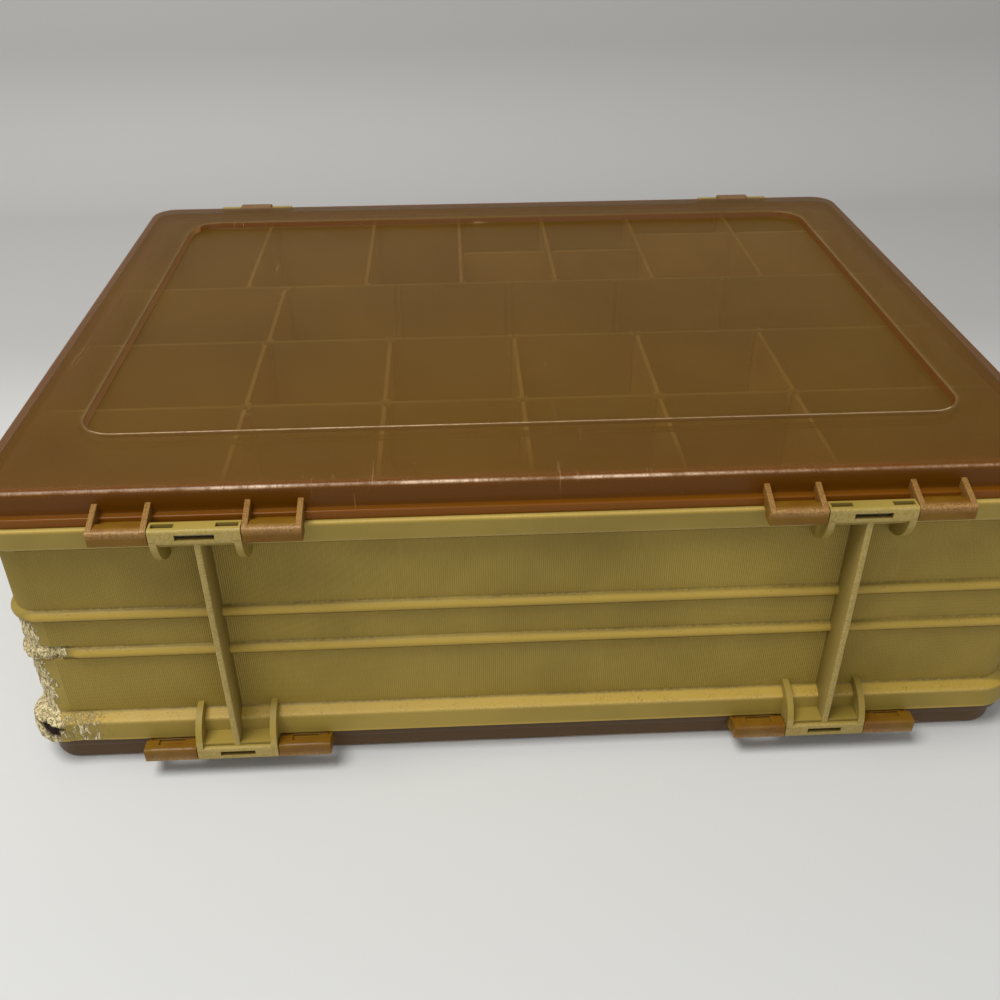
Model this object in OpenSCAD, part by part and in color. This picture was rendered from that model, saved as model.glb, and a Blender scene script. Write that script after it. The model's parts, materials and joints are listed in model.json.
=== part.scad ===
// Double-sided tackle box: a tub with compartments on both faces, a clear lid on each face,
// hinges along the front and a folding handle between the latches on the back.
// It lies on its lower lid. Both halves mirror each other about the plane half way up.

/* [Overall] */
// Width over a lid
lid_w = 375; // [340:1:400]
// Depth over a lid
lid_d = 286; // [274:1:310]
// Radius of a lid's upright corners
corner_r = 12; // [10:0.5:16]
// Height of one lid
lid_h = 12.5; // [12.5:0.5:16]
// Height of the tub between its two rims
tub_h = 98; // [88:1:110]

/* [Tub] */
// Thickness of the outer walls
wall_t = 2.4; // [2:0.1:3]
// Thickness of the floor between the two trays
floor_t = 2.4; // [2:0.1:4]
// How far the wall lies inside the lid's face
wall_inset = 1.5; // [1:0.1:2]
// How far a rim stands out from the wall
rim_out = 5.5; // [5:0.1:6]
// Height of a rim's outer face
rim_h = 8.6; // [6:0.1:9]
// How far that face leans in
rim_draft = 1.1; // [0.5:0.1:1.5]
// Height of the slope from the face back to the wall
rim_slope = 2.2; // [1:0.1:3]
// How far the tray walls rise above the rim, inside the lid
tongue_h = 6; // [4:0.1:6.5]
// Radius of the round beads on the walls
bead_r = 2.15; // [1.5:0.05:2.3]
// Distance between the two beads
bead_gap = 17.5; // [16:0.5:24]

/* [Upper tray] */
// Thickness of the moulded lengthwise walls
inner_wall_t = 1.8; // [1.4:0.1:2.2]
// Place of the front lengthwise wall
front_wall_y = -75; // [-85:0.5:-65]
// Place of the middle lengthwise wall
middle_wall_y = -17.5; // [-25:0.5:-10]
// Place of the rear lengthwise wall
rear_wall_y = 43.5; // [35:0.5:55]
// Distance between cross dividers in the two front rows
front_pitch = 53.3; // [48:0.1:58]
// Place of the one cross divider left in the third row
third_row_x = -105.5; // [-120:0.5:-90]
// Places of the cross dividers in the rear row
rear_xs = [-123.5, -67.5, -21.5, 24, 71, 124.5]; // [-140:0.5:140]
// Distance from the rear wall to the short lengthwise dividers in the middle of the rear row
short_mid_in = 56.6; // [50:0.1:60]
// Distance from the rear wall to the short lengthwise dividers at the right end of the rear row
short_end_in = 35; // [28:0.1:40]

/* [Lower tray] */
// Distance of each lengthwise wall from the middle
lower_wall_y = 45; // [35:1:60]
// Place of the cross dividers
lower_divider_x = 20; // [-60:1:60]

/* [Dividers] */
// Thickness of a loose divider
divider_t = 1.6; // [1.2:0.1:2]
// Room between a divider and its slot, on each side
divider_play = 0.15; // [0.1:0.05:0.3]
// Radius of a divider's two top corners
divider_corner_r = 3; // [1:0.5:5]
// Width of the guide ribs that form a slot
guide_w = 1.2; // [1:0.1:1.6]
// How far the guide ribs stand out
guide_out = 1.8; // [1.2:0.1:2.5]

/* [Lids] */
// Thickness of a lid's top
lid_t = 2.2; // [1.8:0.1:2.4]
// Thickness of a lid's side
lid_side_t = 2; // [1.6:0.1:2]
// Room between the lid's side and the tray walls inside it
lid_play = 0.4; // [0.3:0.05:0.6]
// Radius of the lid's top edge
lid_edge_r = 1.8; // [1:0.1:3]
// How far the lid's foot lip stands out
lip_out = 2.5; // [1.5:0.1:2.8]
// Height of the foot lip
lip_h = 3.5; // [2.5:0.1:4]
// Depth of the sunk panel
panel_sink = 3; // [1:0.1:3]
// Width of the raised border at the hinge side
border_front = 38; // [25:0.5:50]
// Width of the raised border at the handle side
border_back = 25; // [15:0.5:40]
// Width of the raised border at the left and right
border_side = 26; // [15:0.5:40]
// Corner radius of the sunk panel
panel_corner_r = 13; // [6:0.5:20]

/* [Hinges] */
// Distance of each hinge's middle from the lid's side
hinge_from_side = 75.7; // [62:0.1:90]
// How far the pin lies in front of the rim
hinge_out = 5; // [4.8:0.1:6]
// Height of the pin above the rim's face
hinge_up = 1; // [0.5:0.1:1.5]
// Length of the tub's knuckle
knuckle_l = 30; // [26:0.5:34]
// Depth and height of the knuckle and of the lid's brackets
knuckle_d = 6; // [5.4:0.1:6.4]
// Rounding of the knuckle's edges
knuckle_edge_r = 1; // [0.6:0.1:1.4]
// Length of each lid bracket
bracket_l = 19.5; // [16:0.5:24]
// Thickness of a bracket's ribs
bracket_rib_t = 2; // [1.5:0.1:2.5]
// Height of a rib on the lid's side, above the pin
bracket_rise = 6.5; // [5:0.1:7]
// Gap between a knuckle and its brackets
hinge_gap = 0.3; // [0.2:0.05:0.5]
// Thickness of the knuckle's two arms
arm_t = 2.4; // [2:0.1:3]
// How far the arms reach below the pin
arm_drop = 15; // [12:0.5:18]
// Thickness of the upright fin
fin_t = 2.2; // [1.8:0.1:3]
// How far the fin stays behind the knuckle's face
fin_back = 1; // [0.5:0.1:2]
// Radius of a hinge pin
hinge_pin_r = 1.5; // [1.2:0.05:1.8]

/* [Latches] */
// Distance of each latch's middle from the lid's side
latch_from_side = 54; // [48:0.5:88]
// Width of a latch
latch_w = 38; // [30:1:44]
// Thickness of a latch's plate
latch_t = 2; // [1.6:0.1:2.6]
// Length of a latch below its pin
latch_l = 21; // [19:0.5:26]
// Width of the lid's lug
lug_w = 16.5; // [12:0.5:20]
// Radius of the lug round its pin
lug_r = 3.6; // [2.8:0.1:3.7]
// Radius of the latch's eyes
latch_eye_r = 2.4; // [2:0.1:2.8]
// Depth of the pin below the lid's top
lug_drop = 4; // [3.8:0.1:5]
// Radius of a latch pin
latch_pin_r = 1.25; // [1:0.05:1.5]

/* [Handle] */
// Distance of each arm from the box's middle
handle_x = 65; // [50:1:75]
// Distance from the pins to the middle of the grip
handle_reach = 31; // [28:0.5:32]
// Distance of the handle's pins from the wall
handle_out = 8; // [7.5:0.1:9]
// Width of an arm
handle_arm_w = 8; // [6:0.5:10]
// Thickness of an arm
handle_arm_t = 8; // [6:0.5:8]
// Depth of the grip
grip_d = 11; // [9:0.5:11]
// Height of the grip
grip_h = 13; // [11:0.5:14]
// Radius of the eyes round the handle's pins
handle_eye_r = 4.5; // [4:0.1:4.8]
// Thickness of an ear
ear_t = 3; // [2.5:0.1:4]
// Radius of a handle pin
handle_pin_r = 2; // [1.5:0.1:2.4]

/* [Fits] */
// Room round a pin in its bore
pin_play = 0.05; // [0.02:0.01:0.09]
// Room between plain parts that move past each other
side_play = 0.3; // [0.2:0.05:0.5]

/* [Hidden] */
sides = [-1, 1];
faces = ["top", "bottom"];
ends = ["left", "right"];
row_names = ["a", "b"];
// Overlap that joins solids, and the depth that cuts run past a face
bite = 0.5;

mid_z = lid_h + tub_h / 2;
rim_z = tub_h / 2;
top_z = rim_z + lid_h;
tongue_z = rim_z + tongue_h;

wall_w = lid_w - 2 * wall_inset;
wall_d = lid_d - 2 * wall_inset;
wall_r = corner_r - wall_inset;
tray_w = wall_w - 2 * wall_t;
tray_d = wall_d - 2 * wall_t;
tray_r = wall_r - wall_t;
tray_front = -tray_d / 2;
tray_back = tray_d / 2;

lid_in_w = lid_w - 2 * lid_side_t;
lid_in_d = lid_d - 2 * lid_side_t;
lid_in_r = corner_r - lid_side_t;

panel_w = lid_w - 2 * border_side;
panel_d = lid_d - border_front - border_back;
panel_y = (border_front - border_back) / 2;

hinge_x = lid_w / 2 - hinge_from_side;
hinge_y = -wall_d / 2 - rim_out - hinge_out;
hinge_z = rim_z + hinge_up;
hinge_pin_l = knuckle_l + 2 * (hinge_gap + bracket_l - bracket_rib_t / 2);
bracket_x = knuckle_l / 2 + hinge_gap + bracket_l / 2;

latch_x = lid_w / 2 - latch_from_side;
latch_y = lid_d / 2 + rim_out;
latch_z = top_z - lug_drop;
plate_y = latch_y - latch_t / 2;
eye_l = latch_w / 2 - lug_w / 2 - side_play;

handle_y = wall_d / 2 + handle_out;
handle_pin_l = handle_arm_w + 2 * side_play + 2 * ear_t;

divider_z0 = floor_t / 2;
divider_h = tongue_z - divider_z0;
front_rows = [[tray_front, front_wall_y], [front_wall_y, middle_wall_y]];
front_xs = [for (k = [-2:2]) k * front_pitch];
short_mid_y = tray_back - short_mid_in;
short_end_y = tray_back - short_end_in;
// Each short lengthwise divider lies between two cross dividers of the rear row, or the end wall
short_spans = [[rear_xs[2], rear_xs[3], short_mid_y], [rear_xs[3], rear_xs[4], short_mid_y],
               [rear_xs[4], rear_xs[5], short_end_y], [rear_xs[5], tray_w / 2, short_end_y]];
lower_rows = [[tray_front, -lower_wall_y], [-lower_wall_y, lower_wall_y], [lower_wall_y, tray_back]];

NODES = concat(
    ["tub", "top_lid", "bottom_lid", "handle"],
    [for (e = ends) str("hinge_post_", e)],
    [for (e = ends) str("handle_ears_", e)],
    [for (f = faces, e = ends) str("hinge_pin_", f, "_", e)],
    [for (f = faces, e = ends) str("latch_", f, "_", e)],
    [for (f = faces, e = ends) str("latch_pin_", f, "_", e)],
    [for (e = ends) str("handle_pin_", e)],
    [for (r = row_names, k = [1:len(front_xs)]) str("divider_", r, k)],
    ["divider_c1"],
    [for (k = [1:len(rear_xs)]) str("divider_d", k)],
    [for (k = [1:len(short_spans)]) str("short_divider_", k)],
    [for (k = [1:len(lower_rows)]) str("lower_divider_", k)]);
node = "all";

function wanted(name) = node == "all" || node == name;

// ---- shared shapes ----

module round_rect(w, d, r) {
    square([w - 2 * r, d], center = true);
    square([w, d - 2 * r], center = true);
    for (x = sides, y = sides)
        translate([x * (w / 2 - r), y * (d / 2 - r)]) circle(r, $fn = 96);
}

// A round-cornered slab from z0 to z1
module slab(w, d, r, z0, z1) {
    translate([0, 0, z0]) linear_extrude(z1 - z0) round_rect(w, d, r);
}

// Carries a profile round a round-cornered rectangle: its x runs outwards from the corner centres
module carried_round(w, d, r) {
    for (k = [0:3]) {
        along = k % 2 == 0 ? w - 2 * r : d - 2 * r;
        out = (k % 2 == 0 ? d : w) / 2 - r;
        rotate(90 * k) translate([0, out, 0]) rotate([90, 0, 90])
            linear_extrude(along, center = true) children();
        rotate(90 * k) translate([along / 2, out, 0])
            rotate_extrude(angle = 90, $fn = 96) children();
    }
}

// A shape drawn as [y, z] and drawn out along X to the given length, about its middle
module along_x(length) {
    rotate([90, 0, 90]) linear_extrude(length, center = true) children();
}

module rod(r, length) {
    rotate([0, 90, 0]) cylinder(r = r, h = length, center = true, $fn = 48);
}

// Draws the upper half's shape for the top face, or its mirror image for the bottom face
module on_face(face) {
    translate([0, 0, mid_z]) mirror([0, 0, face == "top" ? 0 : 1]) children();
}

function end_sign(end) = end == "left" ? -1 : 1;

// ---- tub ----

// A pair of ribs on each side of a divider's end; the slot opens towards the given side in y
module guides_y(x, y, side) {
    for (s = sides)
        translate([x + s * (divider_t / 2 + divider_play + guide_w / 2), y + side * (guide_out - bite) / 2])
            square([guide_w, guide_out + bite], center = true);
}

// Lengthwise wall, seen from above
module inner_wall(y) {
    translate([0, y]) square([tray_w + 2 * bite, inner_wall_t], center = true);
}

// The slots for one row of cross dividers between two lengthwise faces
module row_guides(row, xs) {
    for (x = xs) {
        guides_y(x, face_front(row), 1);
        guides_y(x, face_back(row), -1);
    }
}

// Inner faces of a row: the outer walls' faces, or the faces of the lengthwise walls
function face_front(row) = row[0] == tray_front ? row[0] : row[0] + inner_wall_t / 2;
function face_back(row) = row[1] == tray_back ? row[1] : row[1] - inner_wall_t / 2;

module upper_cells() {
    difference() {
        round_rect(tray_w, tray_d, tray_r);
        for (y = [front_wall_y, middle_wall_y, rear_wall_y]) inner_wall(y);
        for (row = front_rows) row_guides(row, front_xs);
        row_guides([middle_wall_y, rear_wall_y], concat([third_row_x], [for (k = [-1:2]) k * front_pitch]));
        row_guides([rear_wall_y, tray_back], rear_xs);
    }
}

module lower_cells() {
    difference() {
        round_rect(tray_w, tray_d, tray_r);
        for (s = sides) inner_wall(s * lower_wall_y);
        for (row = lower_rows) row_guides(row, [lower_divider_x]);
    }
}

// Quarter-round arm from the knuckle back to the wall, as [y, z] about the pin
module arm_outline() {
    reach = rim_out + hinge_out + knuckle_d / 2;
    drop = arm_drop - knuckle_d / 4;
    intersection() {
        translate([reach - knuckle_d / 2, -knuckle_d / 4]) arm_round(reach, drop);
        translate([-knuckle_d / 2, -arm_drop]) square([reach + bite, arm_drop - hinge_up]);
    }
}

// Straight front run, then a round that meets the wall
module arm_round(reach, drop) {
    r = min(reach, drop);
    translate([0, r - drop]) circle(r, $fn = 96);
    translate([-reach, r - drop]) square([reach + bite, drop - r + knuckle_d / 4]);
    translate([-bite, -drop]) square([2 * bite, drop]);
}

// One knuckle with its two arms, and the web behind it
module knuckle() {
    translate([0, hinge_y, hinge_z]) {
        along_x(knuckle_l) round_rect(knuckle_d, knuckle_d, knuckle_edge_r);
        for (s = sides)
            translate([s * (knuckle_l - arm_t) / 2, 0, 0]) along_x(arm_t) arm_outline();
        along_x(knuckle_l - arm_t)
            translate([-knuckle_d / 4, -knuckle_d / 2 - arm_t / 2])
                square([hinge_out + knuckle_d / 4 + bite, arm_t]);
    }
}

// Cuts in a knuckle: the pin's bore, a window in front and two on top
module knuckle_cuts() {
    window_l = 13;
    window_h = 2.3;
    end_window_l = 7.4;
    end_wall = 0.8;
    translate([0, hinge_y, hinge_z]) {
        rod(hinge_pin_r + pin_play, knuckle_l + 2 * bite);
        translate([-window_l / 2, -knuckle_d, -window_h / 2]) cube([window_l, knuckle_d, window_h]);
        for (s = sides)
            translate([s * (knuckle_l / 2 - end_wall - end_window_l / 2) - end_window_l / 2, -window_h / 2, 0])
                cube([end_window_l, window_h, knuckle_d]);
    }
}

// Section of a rim, for carried_round: a leaning face, with a slope from it back to the wall
module rim() {
    inner = wall_r - bite;
    foot = rim_z - rim_h;
    polygon([[inner, rim_z], [wall_r + rim_out, rim_z], [wall_r + rim_out - rim_draft, foot],
             [wall_r, foot - rim_slope], [inner, foot - rim_slope]]);
}

// Outside of the tub: walls, the tray walls that rise inside the lids, rims and beads
module tub_outside() {
    tongue_inset = lid_side_t + lid_play;
    slab(wall_w, wall_d, wall_r, -rim_z, rim_z);
    slab(lid_w - 2 * tongue_inset, lid_d - 2 * tongue_inset, corner_r - tongue_inset, -tongue_z, tongue_z);
    for (s = [0, 1]) mirror([0, 0, s]) {
        carried_round(wall_w, wall_d, wall_r) {
            rim();
            translate([wall_r, bead_gap / 2]) circle(bead_r, $fn = 48);
        }
    }
}

module tub() color("darkkhaki") translate([0, 0, mid_z]) difference() {
    tub_outside();
    translate([0, 0, divider_z0]) linear_extrude(tongue_z) upper_cells();
    mirror([0, 0, 1]) translate([0, 0, divider_z0]) linear_extrude(tongue_z) lower_cells();
}

// Fin up the front wall with a hinge knuckle at each end, seated on the walls, rims and beads
module hinge_post(end) color("darkkhaki") translate([0, 0, mid_z]) difference() {
    x = end_sign(end) * hinge_x;
    fin_y = hinge_y - knuckle_d / 2 + fin_back;
    fin_h = 2 * (hinge_z - knuckle_d / 2 + bite);
    union() {
        for (s = [0, 1]) mirror([0, 0, s]) translate([x, 0, 0]) knuckle();
        translate([x - fin_t / 2, fin_y, -fin_h / 2]) cube([fin_t, -wall_d / 2 - fin_y + bite, fin_h]);
    }
    tub_outside();
    for (s = [0, 1]) mirror([0, 0, s]) translate([x, 0, 0]) knuckle_cuts();
}

// Pair of bored ears for one handle pin, seated on the rear wall
module handle_ears(end) color("darkkhaki")
    translate([end_sign(end) * handle_x, handle_y, mid_z]) difference() {
        for (s = sides)
            translate([s * (handle_arm_w + ear_t + 2 * side_play) / 2, 0, 0]) along_x(ear_t) {
                circle(handle_eye_r, $fn = 48);
                translate([-handle_out, -handle_eye_r]) square([handle_out, 2 * handle_eye_r]);
            }
        rod(handle_pin_r + pin_play, handle_pin_l + 2 * bite);
    }

// ---- dividers ----

// Upright plate of the given length, along X, with two round top corners
module plate(length) {
    r = divider_corner_r;
    rotate([90, 0, 0]) linear_extrude(divider_t, center = true) {
        translate([-length / 2, 0]) square([length, divider_h - r]);
        translate([-length / 2 + r, 0]) square([length - 2 * r, divider_h]);
        for (s = sides) translate([s * (length / 2 - r), divider_h - r]) circle(r, $fn = 32);
    }
}

// Plate across a row at x
module cross_divider(row, x) color("tan") {
    y0 = face_front(row) + divider_play;
    y1 = face_back(row) - divider_play;
    translate([x, (y0 + y1) / 2, mid_z + divider_z0]) rotate(90) plate(y1 - y0);
}

// Plate along the row at y, between two cross dividers or a cross divider and the end wall
module short_divider(span) color("tan") {
    x0 = span[0] + divider_t / 2 + divider_play;
    x1 = span[1] - (span[1] < tray_w / 2 ? divider_t / 2 : 0) - divider_play;
    translate([(x0 + x1) / 2, span[2], mid_z + divider_z0]) plate(x1 - x0);
}

module lower_divider(row) color("tan") {
    translate([0, 0, 2 * mid_z]) mirror([0, 0, 1]) cross_divider(row, lower_divider_x);
}

// ---- lids ----

// Rib of a bracket, as [y, z] about the pin: bar end, then up the lid's side
module bracket_rib() {
    half = knuckle_d / 2;
    face = hinge_y + lid_d / 2;
    foot = side_play - hinge_up;
    polygon([[-half + knuckle_edge_r, half], [-half + knuckle_edge_r, -half + knuckle_edge_r],
             [half - knuckle_edge_r, -half + knuckle_edge_r], [half, foot],
             [-face + bite, foot], [-face + bite, bracket_rise], [-face, bracket_rise]]);
}

// One bracket: a bar round the pin, two ribs back to the lid's side, and a shelf between them
module bracket() {
    half = knuckle_d / 2;
    face = hinge_y + lid_d / 2;
    shelf_t = 1.5;
    along_x(bracket_l) round_rect(knuckle_d, knuckle_d, knuckle_edge_r);
    for (s = sides) translate([s * (bracket_l - bracket_rib_t) / 2, 0, 0]) along_x(bracket_rib_t) bracket_rib();
    along_x(bracket_l - bracket_rib_t)
        translate([half - bite, side_play - hinge_up]) square([-face - half + 2 * bite, shelf_t]);
}

// Cuts in a bracket: a window in the shelf behind the bar, and a notch in the bar's inner edge
module bracket_cuts() {
    half = knuckle_d / 2;
    window_l = bracket_l - 6.5;
    window_d = 2;
    notch_l = bracket_l - 10;
    notch_d = 1;
    translate([-window_l / 2, half - bite, -half]) cube([window_l, window_d + bite, knuckle_d]);
    translate([-notch_l / 2, 0, -half - bite]) cube([notch_l, knuckle_d, notch_d + bite]);
}

module lug() {
    translate([0, latch_y, latch_z]) along_x(lug_w) {
        circle(lug_r, $fn = 48);
        back = latch_y - lid_d / 2 + bite;
        translate([-back, -lug_r]) square([back, 2 * lug_r]);
    }
}

module lid_shell() {
    difference() {
        union() {
            difference() {
                slab(lid_w, lid_d, corner_r, rim_z, top_z);
                carried_round(lid_w, lid_d, corner_r) difference() {
                    translate([corner_r - lid_edge_r, top_z - lid_edge_r]) square(lid_edge_r + bite);
                    translate([corner_r - lid_edge_r, top_z - lid_edge_r]) circle(lid_edge_r, $fn = 48);
                }
            }
            slab(lid_w + 2 * lip_out, lid_d + 2 * lip_out, corner_r + lip_out, rim_z, rim_z + lip_h);
            for (x = sides) {
                for (s = sides) translate([x * hinge_x + s * bracket_x, hinge_y, hinge_z]) bracket();
                translate([x * latch_x, 0, 0]) lug();
            }
        }
        translate([0, panel_y, 0]) slab(panel_w, panel_d, panel_corner_r, top_z - panel_sink, top_z + bite);
        difference() {
            slab(lid_in_w, lid_in_d, lid_in_r, rim_z - bite, top_z - lid_t);
            translate([0, panel_y, 0])
                slab(panel_w + 2 * lid_t, panel_d + 2 * lid_t, panel_corner_r + lid_t,
                     top_z - panel_sink - lid_t, top_z);
        }
        for (x = sides) {
            for (s = sides) translate([x * hinge_x + s * bracket_x, hinge_y, hinge_z]) bracket_cuts();
            translate([x * hinge_x, hinge_y, hinge_z]) rod(hinge_pin_r + pin_play, hinge_pin_l + 2 * pin_play);
            translate([x * latch_x, latch_y, latch_z]) rod(latch_pin_r + pin_play, lug_w + 2 * bite);
        }
    }
}

module lid(face) color("saddlebrown", 0.6) on_face(face) lid_shell();

// ---- pins, latches and handle ----

module hinge_pin(face, end) color("silver") on_face(face)
    translate([end_sign(end) * hinge_x, hinge_y, hinge_z]) rod(hinge_pin_r, hinge_pin_l);

module latch_pin(face, end) color("silver") on_face(face)
    translate([end_sign(end) * latch_x, latch_y, latch_z]) rod(latch_pin_r, latch_w);

module handle_pin(end) color("silver")
    translate([end_sign(end) * handle_x, handle_y, mid_z]) rod(handle_pin_r, handle_pin_l);

// Plate with an eye at each side of the lid's lug, a claw below the rim and a finger tab
module latch(face, end) color("saddlebrown") on_face(face)
    translate([end_sign(end) * latch_x, latch_y, latch_z]) difference() {
        claw_h = 2;
        tab_out = 2.4;
        claw_in = latch_y - wall_d / 2 - rim_out - side_play;
        claw_z = rim_z - rim_h - side_play - latch_z;
        union() {
            for (s = sides)
                translate([s * (lug_w / 2 + side_play + eye_l / 2), 0, 0]) along_x(eye_l) {
                    circle(latch_eye_r, $fn = 48);
                    translate([-latch_t / 2, -lug_r - 1]) square([latch_t, lug_r + 1]);
                }
            along_x(latch_w) {
                translate([-latch_t / 2, -latch_l]) square([latch_t, latch_l - lug_r - side_play]);
                translate([-claw_in, claw_z - claw_h]) square([claw_in, claw_h]);
                translate([0, -latch_l]) square([latch_t / 2 + tab_out, claw_h]);
            }
        }
        rod(latch_pin_r + pin_play, latch_w + 2 * bite);
    }

module handle() color("darkkhaki") translate([0, handle_y, mid_z]) difference() {
    outer_r = 12;
    inner_r = 5;
    grip_edge_r = 4;
    outer_w = 2 * handle_x + handle_arm_w;
    low = -handle_reach - grip_h / 2;
    union() {
        // Two arms and the bend at the bottom, flat on both faces
        rotate([90, 0, 0]) linear_extrude(handle_arm_t, center = true) difference() {
            translate([0, low + outer_r]) {
                for (s = sides) translate([s * (outer_w / 2 - outer_r), 0]) circle(outer_r, $fn = 96);
                translate([-outer_w / 2, 0]) square([outer_w, -low - outer_r]);
                translate([-outer_w / 2 + outer_r, -outer_r]) square([outer_w - 2 * outer_r, outer_r]);
            }
            inner_w = outer_w - 2 * handle_arm_w;
            inner_low = low + grip_h;
            translate([-inner_w / 2 + inner_r, inner_low]) square([inner_w - 2 * inner_r, -inner_low + bite]);
            translate([-inner_w / 2, inner_low + inner_r]) square([inner_w, -inner_low - inner_r + bite]);
            for (s = sides) translate([s * (inner_w / 2 - inner_r), inner_low + inner_r]) circle(inner_r, $fn = 48);
        }
        translate([0, 0, -handle_reach])
            along_x(outer_w - 2 * outer_r) round_rect(grip_d, grip_h, grip_edge_r);
        for (s = sides) translate([s * handle_x, 0, 0]) rod(handle_eye_r, handle_arm_w);
    }
    for (s = sides) translate([s * handle_x, 0, 0]) rod(handle_pin_r + pin_play, handle_arm_w + 2 * bite);
}

// ---- assembly ----

if (wanted("tub")) tub();
if (wanted("top_lid")) lid("top");
if (wanted("bottom_lid")) lid("bottom");
if (wanted("handle")) handle();
for (f = faces, e = ends) {
    if (wanted(str("hinge_pin_", f, "_", e))) hinge_pin(f, e);
    if (wanted(str("latch_", f, "_", e))) latch(f, e);
    if (wanted(str("latch_pin_", f, "_", e))) latch_pin(f, e);
}
for (e = ends) {
    if (wanted(str("hinge_post_", e))) hinge_post(e);
    if (wanted(str("handle_ears_", e))) handle_ears(e);
    if (wanted(str("handle_pin_", e))) handle_pin(e);
}
for (r = [0:1], k = [1:len(front_xs)])
    if (wanted(str("divider_", row_names[r], k))) cross_divider(front_rows[r], front_xs[k - 1]);
if (wanted("divider_c1")) cross_divider([middle_wall_y, rear_wall_y], third_row_x);
for (k = [1:len(rear_xs)])
    if (wanted(str("divider_d", k))) cross_divider([rear_wall_y, tray_back], rear_xs[k - 1]);
for (k = [1:len(short_spans)])
    if (wanted(str("short_divider_", k))) short_divider(short_spans[k - 1]);
for (k = [1:len(lower_rows)])
    if (wanted(str("lower_divider_", k))) lower_divider(lower_rows[k - 1]);
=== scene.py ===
import json
import math
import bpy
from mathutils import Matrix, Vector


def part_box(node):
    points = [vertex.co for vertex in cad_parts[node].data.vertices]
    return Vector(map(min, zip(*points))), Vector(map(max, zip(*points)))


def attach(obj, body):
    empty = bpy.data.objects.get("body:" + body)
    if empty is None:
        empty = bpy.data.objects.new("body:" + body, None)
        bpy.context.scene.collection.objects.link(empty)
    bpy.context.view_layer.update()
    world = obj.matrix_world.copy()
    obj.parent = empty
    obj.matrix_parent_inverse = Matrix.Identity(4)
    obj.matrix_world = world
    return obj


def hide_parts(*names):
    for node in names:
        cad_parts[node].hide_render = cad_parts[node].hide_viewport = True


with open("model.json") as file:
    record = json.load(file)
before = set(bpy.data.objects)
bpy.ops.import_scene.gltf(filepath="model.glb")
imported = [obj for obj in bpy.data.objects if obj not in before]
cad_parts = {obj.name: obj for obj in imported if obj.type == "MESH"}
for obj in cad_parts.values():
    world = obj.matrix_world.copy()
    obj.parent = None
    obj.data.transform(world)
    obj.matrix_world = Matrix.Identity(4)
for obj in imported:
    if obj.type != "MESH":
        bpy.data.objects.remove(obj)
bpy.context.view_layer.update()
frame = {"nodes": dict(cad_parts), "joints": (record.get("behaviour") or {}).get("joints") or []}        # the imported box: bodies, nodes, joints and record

from types import SimpleNamespace

import bmesh
import bpy
import numpy as np
from bpy.props import FloatProperty, FloatVectorProperty, PointerProperty
from mathutils import Matrix, Vector

bl_info = {
    "name": "Double-Sided Tackle Box",
    "version": (1, 0, 0),
    "blender": (4, 5, 0),
    "location": "3D View > Sidebar > Tackle Box",
    "description": "Builds the mouldings, clear lids and wear of a double-sided tackle box",
    "category": "Object",
}

MM = 0.001
EMBED = 0.4 * MM         # how far a shape reaches into what carries it
LEFT, RIGHT = -1, 1
FACES = {"top": 1, "bottom": -1}
ENDS = {"left": LEFT, "right": RIGHT}


# ---- what the frame says ----

def joint_point(name):
    """Where a joint's axis lies, in metres"""
    return next(np.array(j["pos_m"], float) for j in frame["joints"] if j["name"] == name)


def box_of(node):
    """Lowest and highest corner of a solid, as arrays"""
    low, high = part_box(node)
    return np.array(low), np.array(high)


def middle_of(node, axis):
    """Middle of a solid's box along an axis"""
    low, high = box_of(node)
    return (low[axis] + high[axis]) / 2


HINGE = joint_point("top_lid_hinge")
LATCH = joint_point("latch_top_right_pivot")
FOLD = joint_point("handle_fold")
MID = FOLD[2]            # half the box's height
ROW_A = [f"divider_a{k}" for k in range(1, 6)]
ROW_B = [f"divider_b{k}" for k in range(1, 6)]
ROW_D = [f"divider_d{k}" for k in range(1, 7)]
SHORT = [f"short_divider_{k}" for k in range(1, 5)]
LOWER = [f"lower_divider_{k}" for k in range(1, 4)]
HINGE_PINS = [f"hinge_pin_{face}_{end}" for face in FACES for end in ENDS]
LATCH_PINS = [f"latch_pin_{face}_{end}" for face in FACES for end in ENDS]
HANDLE_PINS = [f"handle_pin_{end}" for end in ENDS]
POSTS = [f"hinge_post_{end}" for end in ENDS]
EARS = [f"handle_ears_{end}" for end in ENDS]


# ---- sizes and colours that a user may set ----

def length(name, description, millimetres):
    return FloatProperty(name=name, description=description, default=millimetres * MM,
                         unit="LENGTH", subtype="DISTANCE", precision=5)


def linear(red, green, blue):
    """A display colour of 0 to 255 as the linear values that the shaders take, by the sRGB curve"""
    share = np.array([red, green, blue]) / 255
    return tuple(np.where(share <= 0.04045, share / 12.92, ((share + 0.055) / 1.055) ** 2.4))


def colour(name, description, red, green, blue):
    return FloatVectorProperty(name=name, description=description, subtype="COLOR", size=3,
                               min=0, max=1, default=linear(red, green, blue))


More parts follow.
